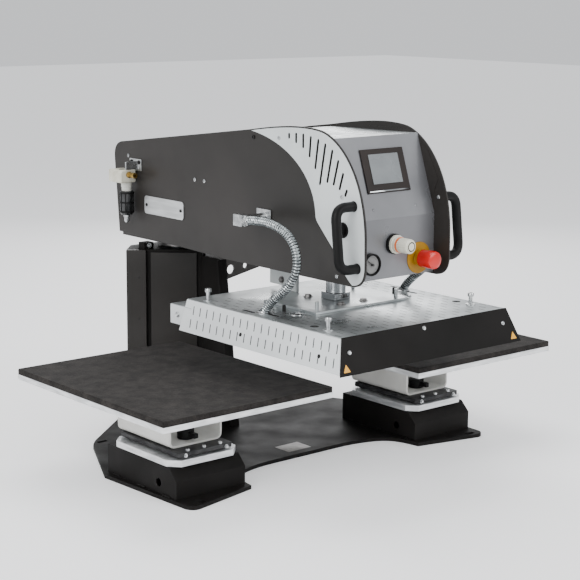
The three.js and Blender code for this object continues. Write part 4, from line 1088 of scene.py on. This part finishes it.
# The cable slots and the cable hole are dark inlays: painted shade where the openings are.
dark = []
for side, label in SIDES:
    hole = [(0, -0.4), (8.5, -0.4), (8.5, 0.15), (0, 0.15)]
    dark.append(stood(hole, 28, (side * 190, -683, COVER_TOP)))
    for x, y in ((200, -500), (186, -556)):
        loop = slot_loop(side * x, y, 15, 4, 5)
        dark.append(plate(loop, [], COVER_TOP - 0.2, COVER_TOP + 0.12, "XY"))
placed(dark, "cover_opening_shadows", hole_shadow, "heater")
screws = [socket_screw((side * 148, -545, COVER_TOP), UP, 3.6, 13) for side, _ in SIDES]
placed(screws, "cover_black_screws", black_oxide, "heater")


# ---- front plate ----
# A 2 mm black plate on the cover's front, held by three button screws. Plain amber corner
# labels, without any sign on them.
eased("heater_front_plate", powder_coat, "heater", 0.6)
front_low = limits("heater_front_plate")[0]
front_run = COVER_LEAN / (COVER_TOP - COVER_Z)


def front_point(x, z):
    """A point on the leaning front plate's face."""
    return Vector((x, front_low.y + (z - front_low.z) * front_run, z))


front_out = Vector((0, -math.cos(wall_angle), math.sin(wall_angle)))
button = [(0, 0), (4.4, 0), (3.9, 1.4), (2.2, 2.2), (1.6, 1.2), (0, 1.1)]
buttons = [
    aimed(turned(button, 24), front_point(x, z), front_out)
    for x, z in ((-208, 318), (-13, 336), (200, 318))
]
placed(buttons, "front_screws", zinc_plate, "heater")
amber_film = surfaced("amber_film", "D99A1E", "E7AA31", 0.4, 30, 1.4, 0.02)
labels = []
for side, label in SIDES:
    points = [(-8.5, -7), (8.5, -7), (0, 8)]
    loop = []
    for i, here in enumerate(points):
        p, q, r = Vector(points[i - 1]), Vector(here), Vector(points[(i + 1) % 3])
        start = q + (p - q).normalized() * 2
        end = q + (r - q).normalized() * 2
        loop += swept([tuple(start), here, tuple(end)], 4)
    bm = plate(loop, [], 0, 0.25, "XY")
    across = Vector((1, 0, 0))
    turn = Matrix((across, front_out.cross(across), front_out)).transposed().to_4x4()
    bm.transform(Matrix.Translation(front_point(side * 222, 292) * MM) @ turn)
    labels.append(bm)
placed(labels, "corner_labels", amber_film, "heater")


# ---- rating label ----
# A foil label bonded to the base plate between the pedestals, with nothing printed on it.
label_foil = surfaced("matt_label_foil", "5F5C58", "77746F", 0.45, 12, 1.0, 0.04, metallic=0.4)
foil = slab(-31, 31, -424, -378, 8.02, 8.3, 0.1)
placed(foil, "blank_rating_label", label_foil, "base")


# ---- platen and drive ----
# The heated platen is cast aluminium under an insulation board. The pressure plate, rod and
# guide blade carry it from the arm.
eased("heating_platen", sawn_aluminium, "heater", 1.0)
board = surfaced("calcium_silicate_board", "B8B2A4", "CBC6B9", 0.85, 30, 1.5, 0.2)
for node, material, slot_name, width in (
    ("insulation_board", board, "cream_plastic", 0.8),
    ("pressure_plate", galvanised_sheet, "zinc_sheet", 0.7),
    ("piston_rod", hard_chrome, "bright_steel", 1.0),
    ("guide_blade", light_grey_paint, "machined_steel", 0.6),
):
    eased(node, material, "heater", width)
blade_bolts = ((-398, 392), (-365, 364), (-340, 392))
bolts = [hex_bolt((-4, y, z), (-1, 0, 0), 6, 4.5) for y, z in blade_bolts]
bolts += [hex_bolt((x, y, 349.3), UP, 7, 5) for y in (-480, -580) for x in (-30, 30)]
placed(bolts, "drive_bolts", ground_steel, "heater")
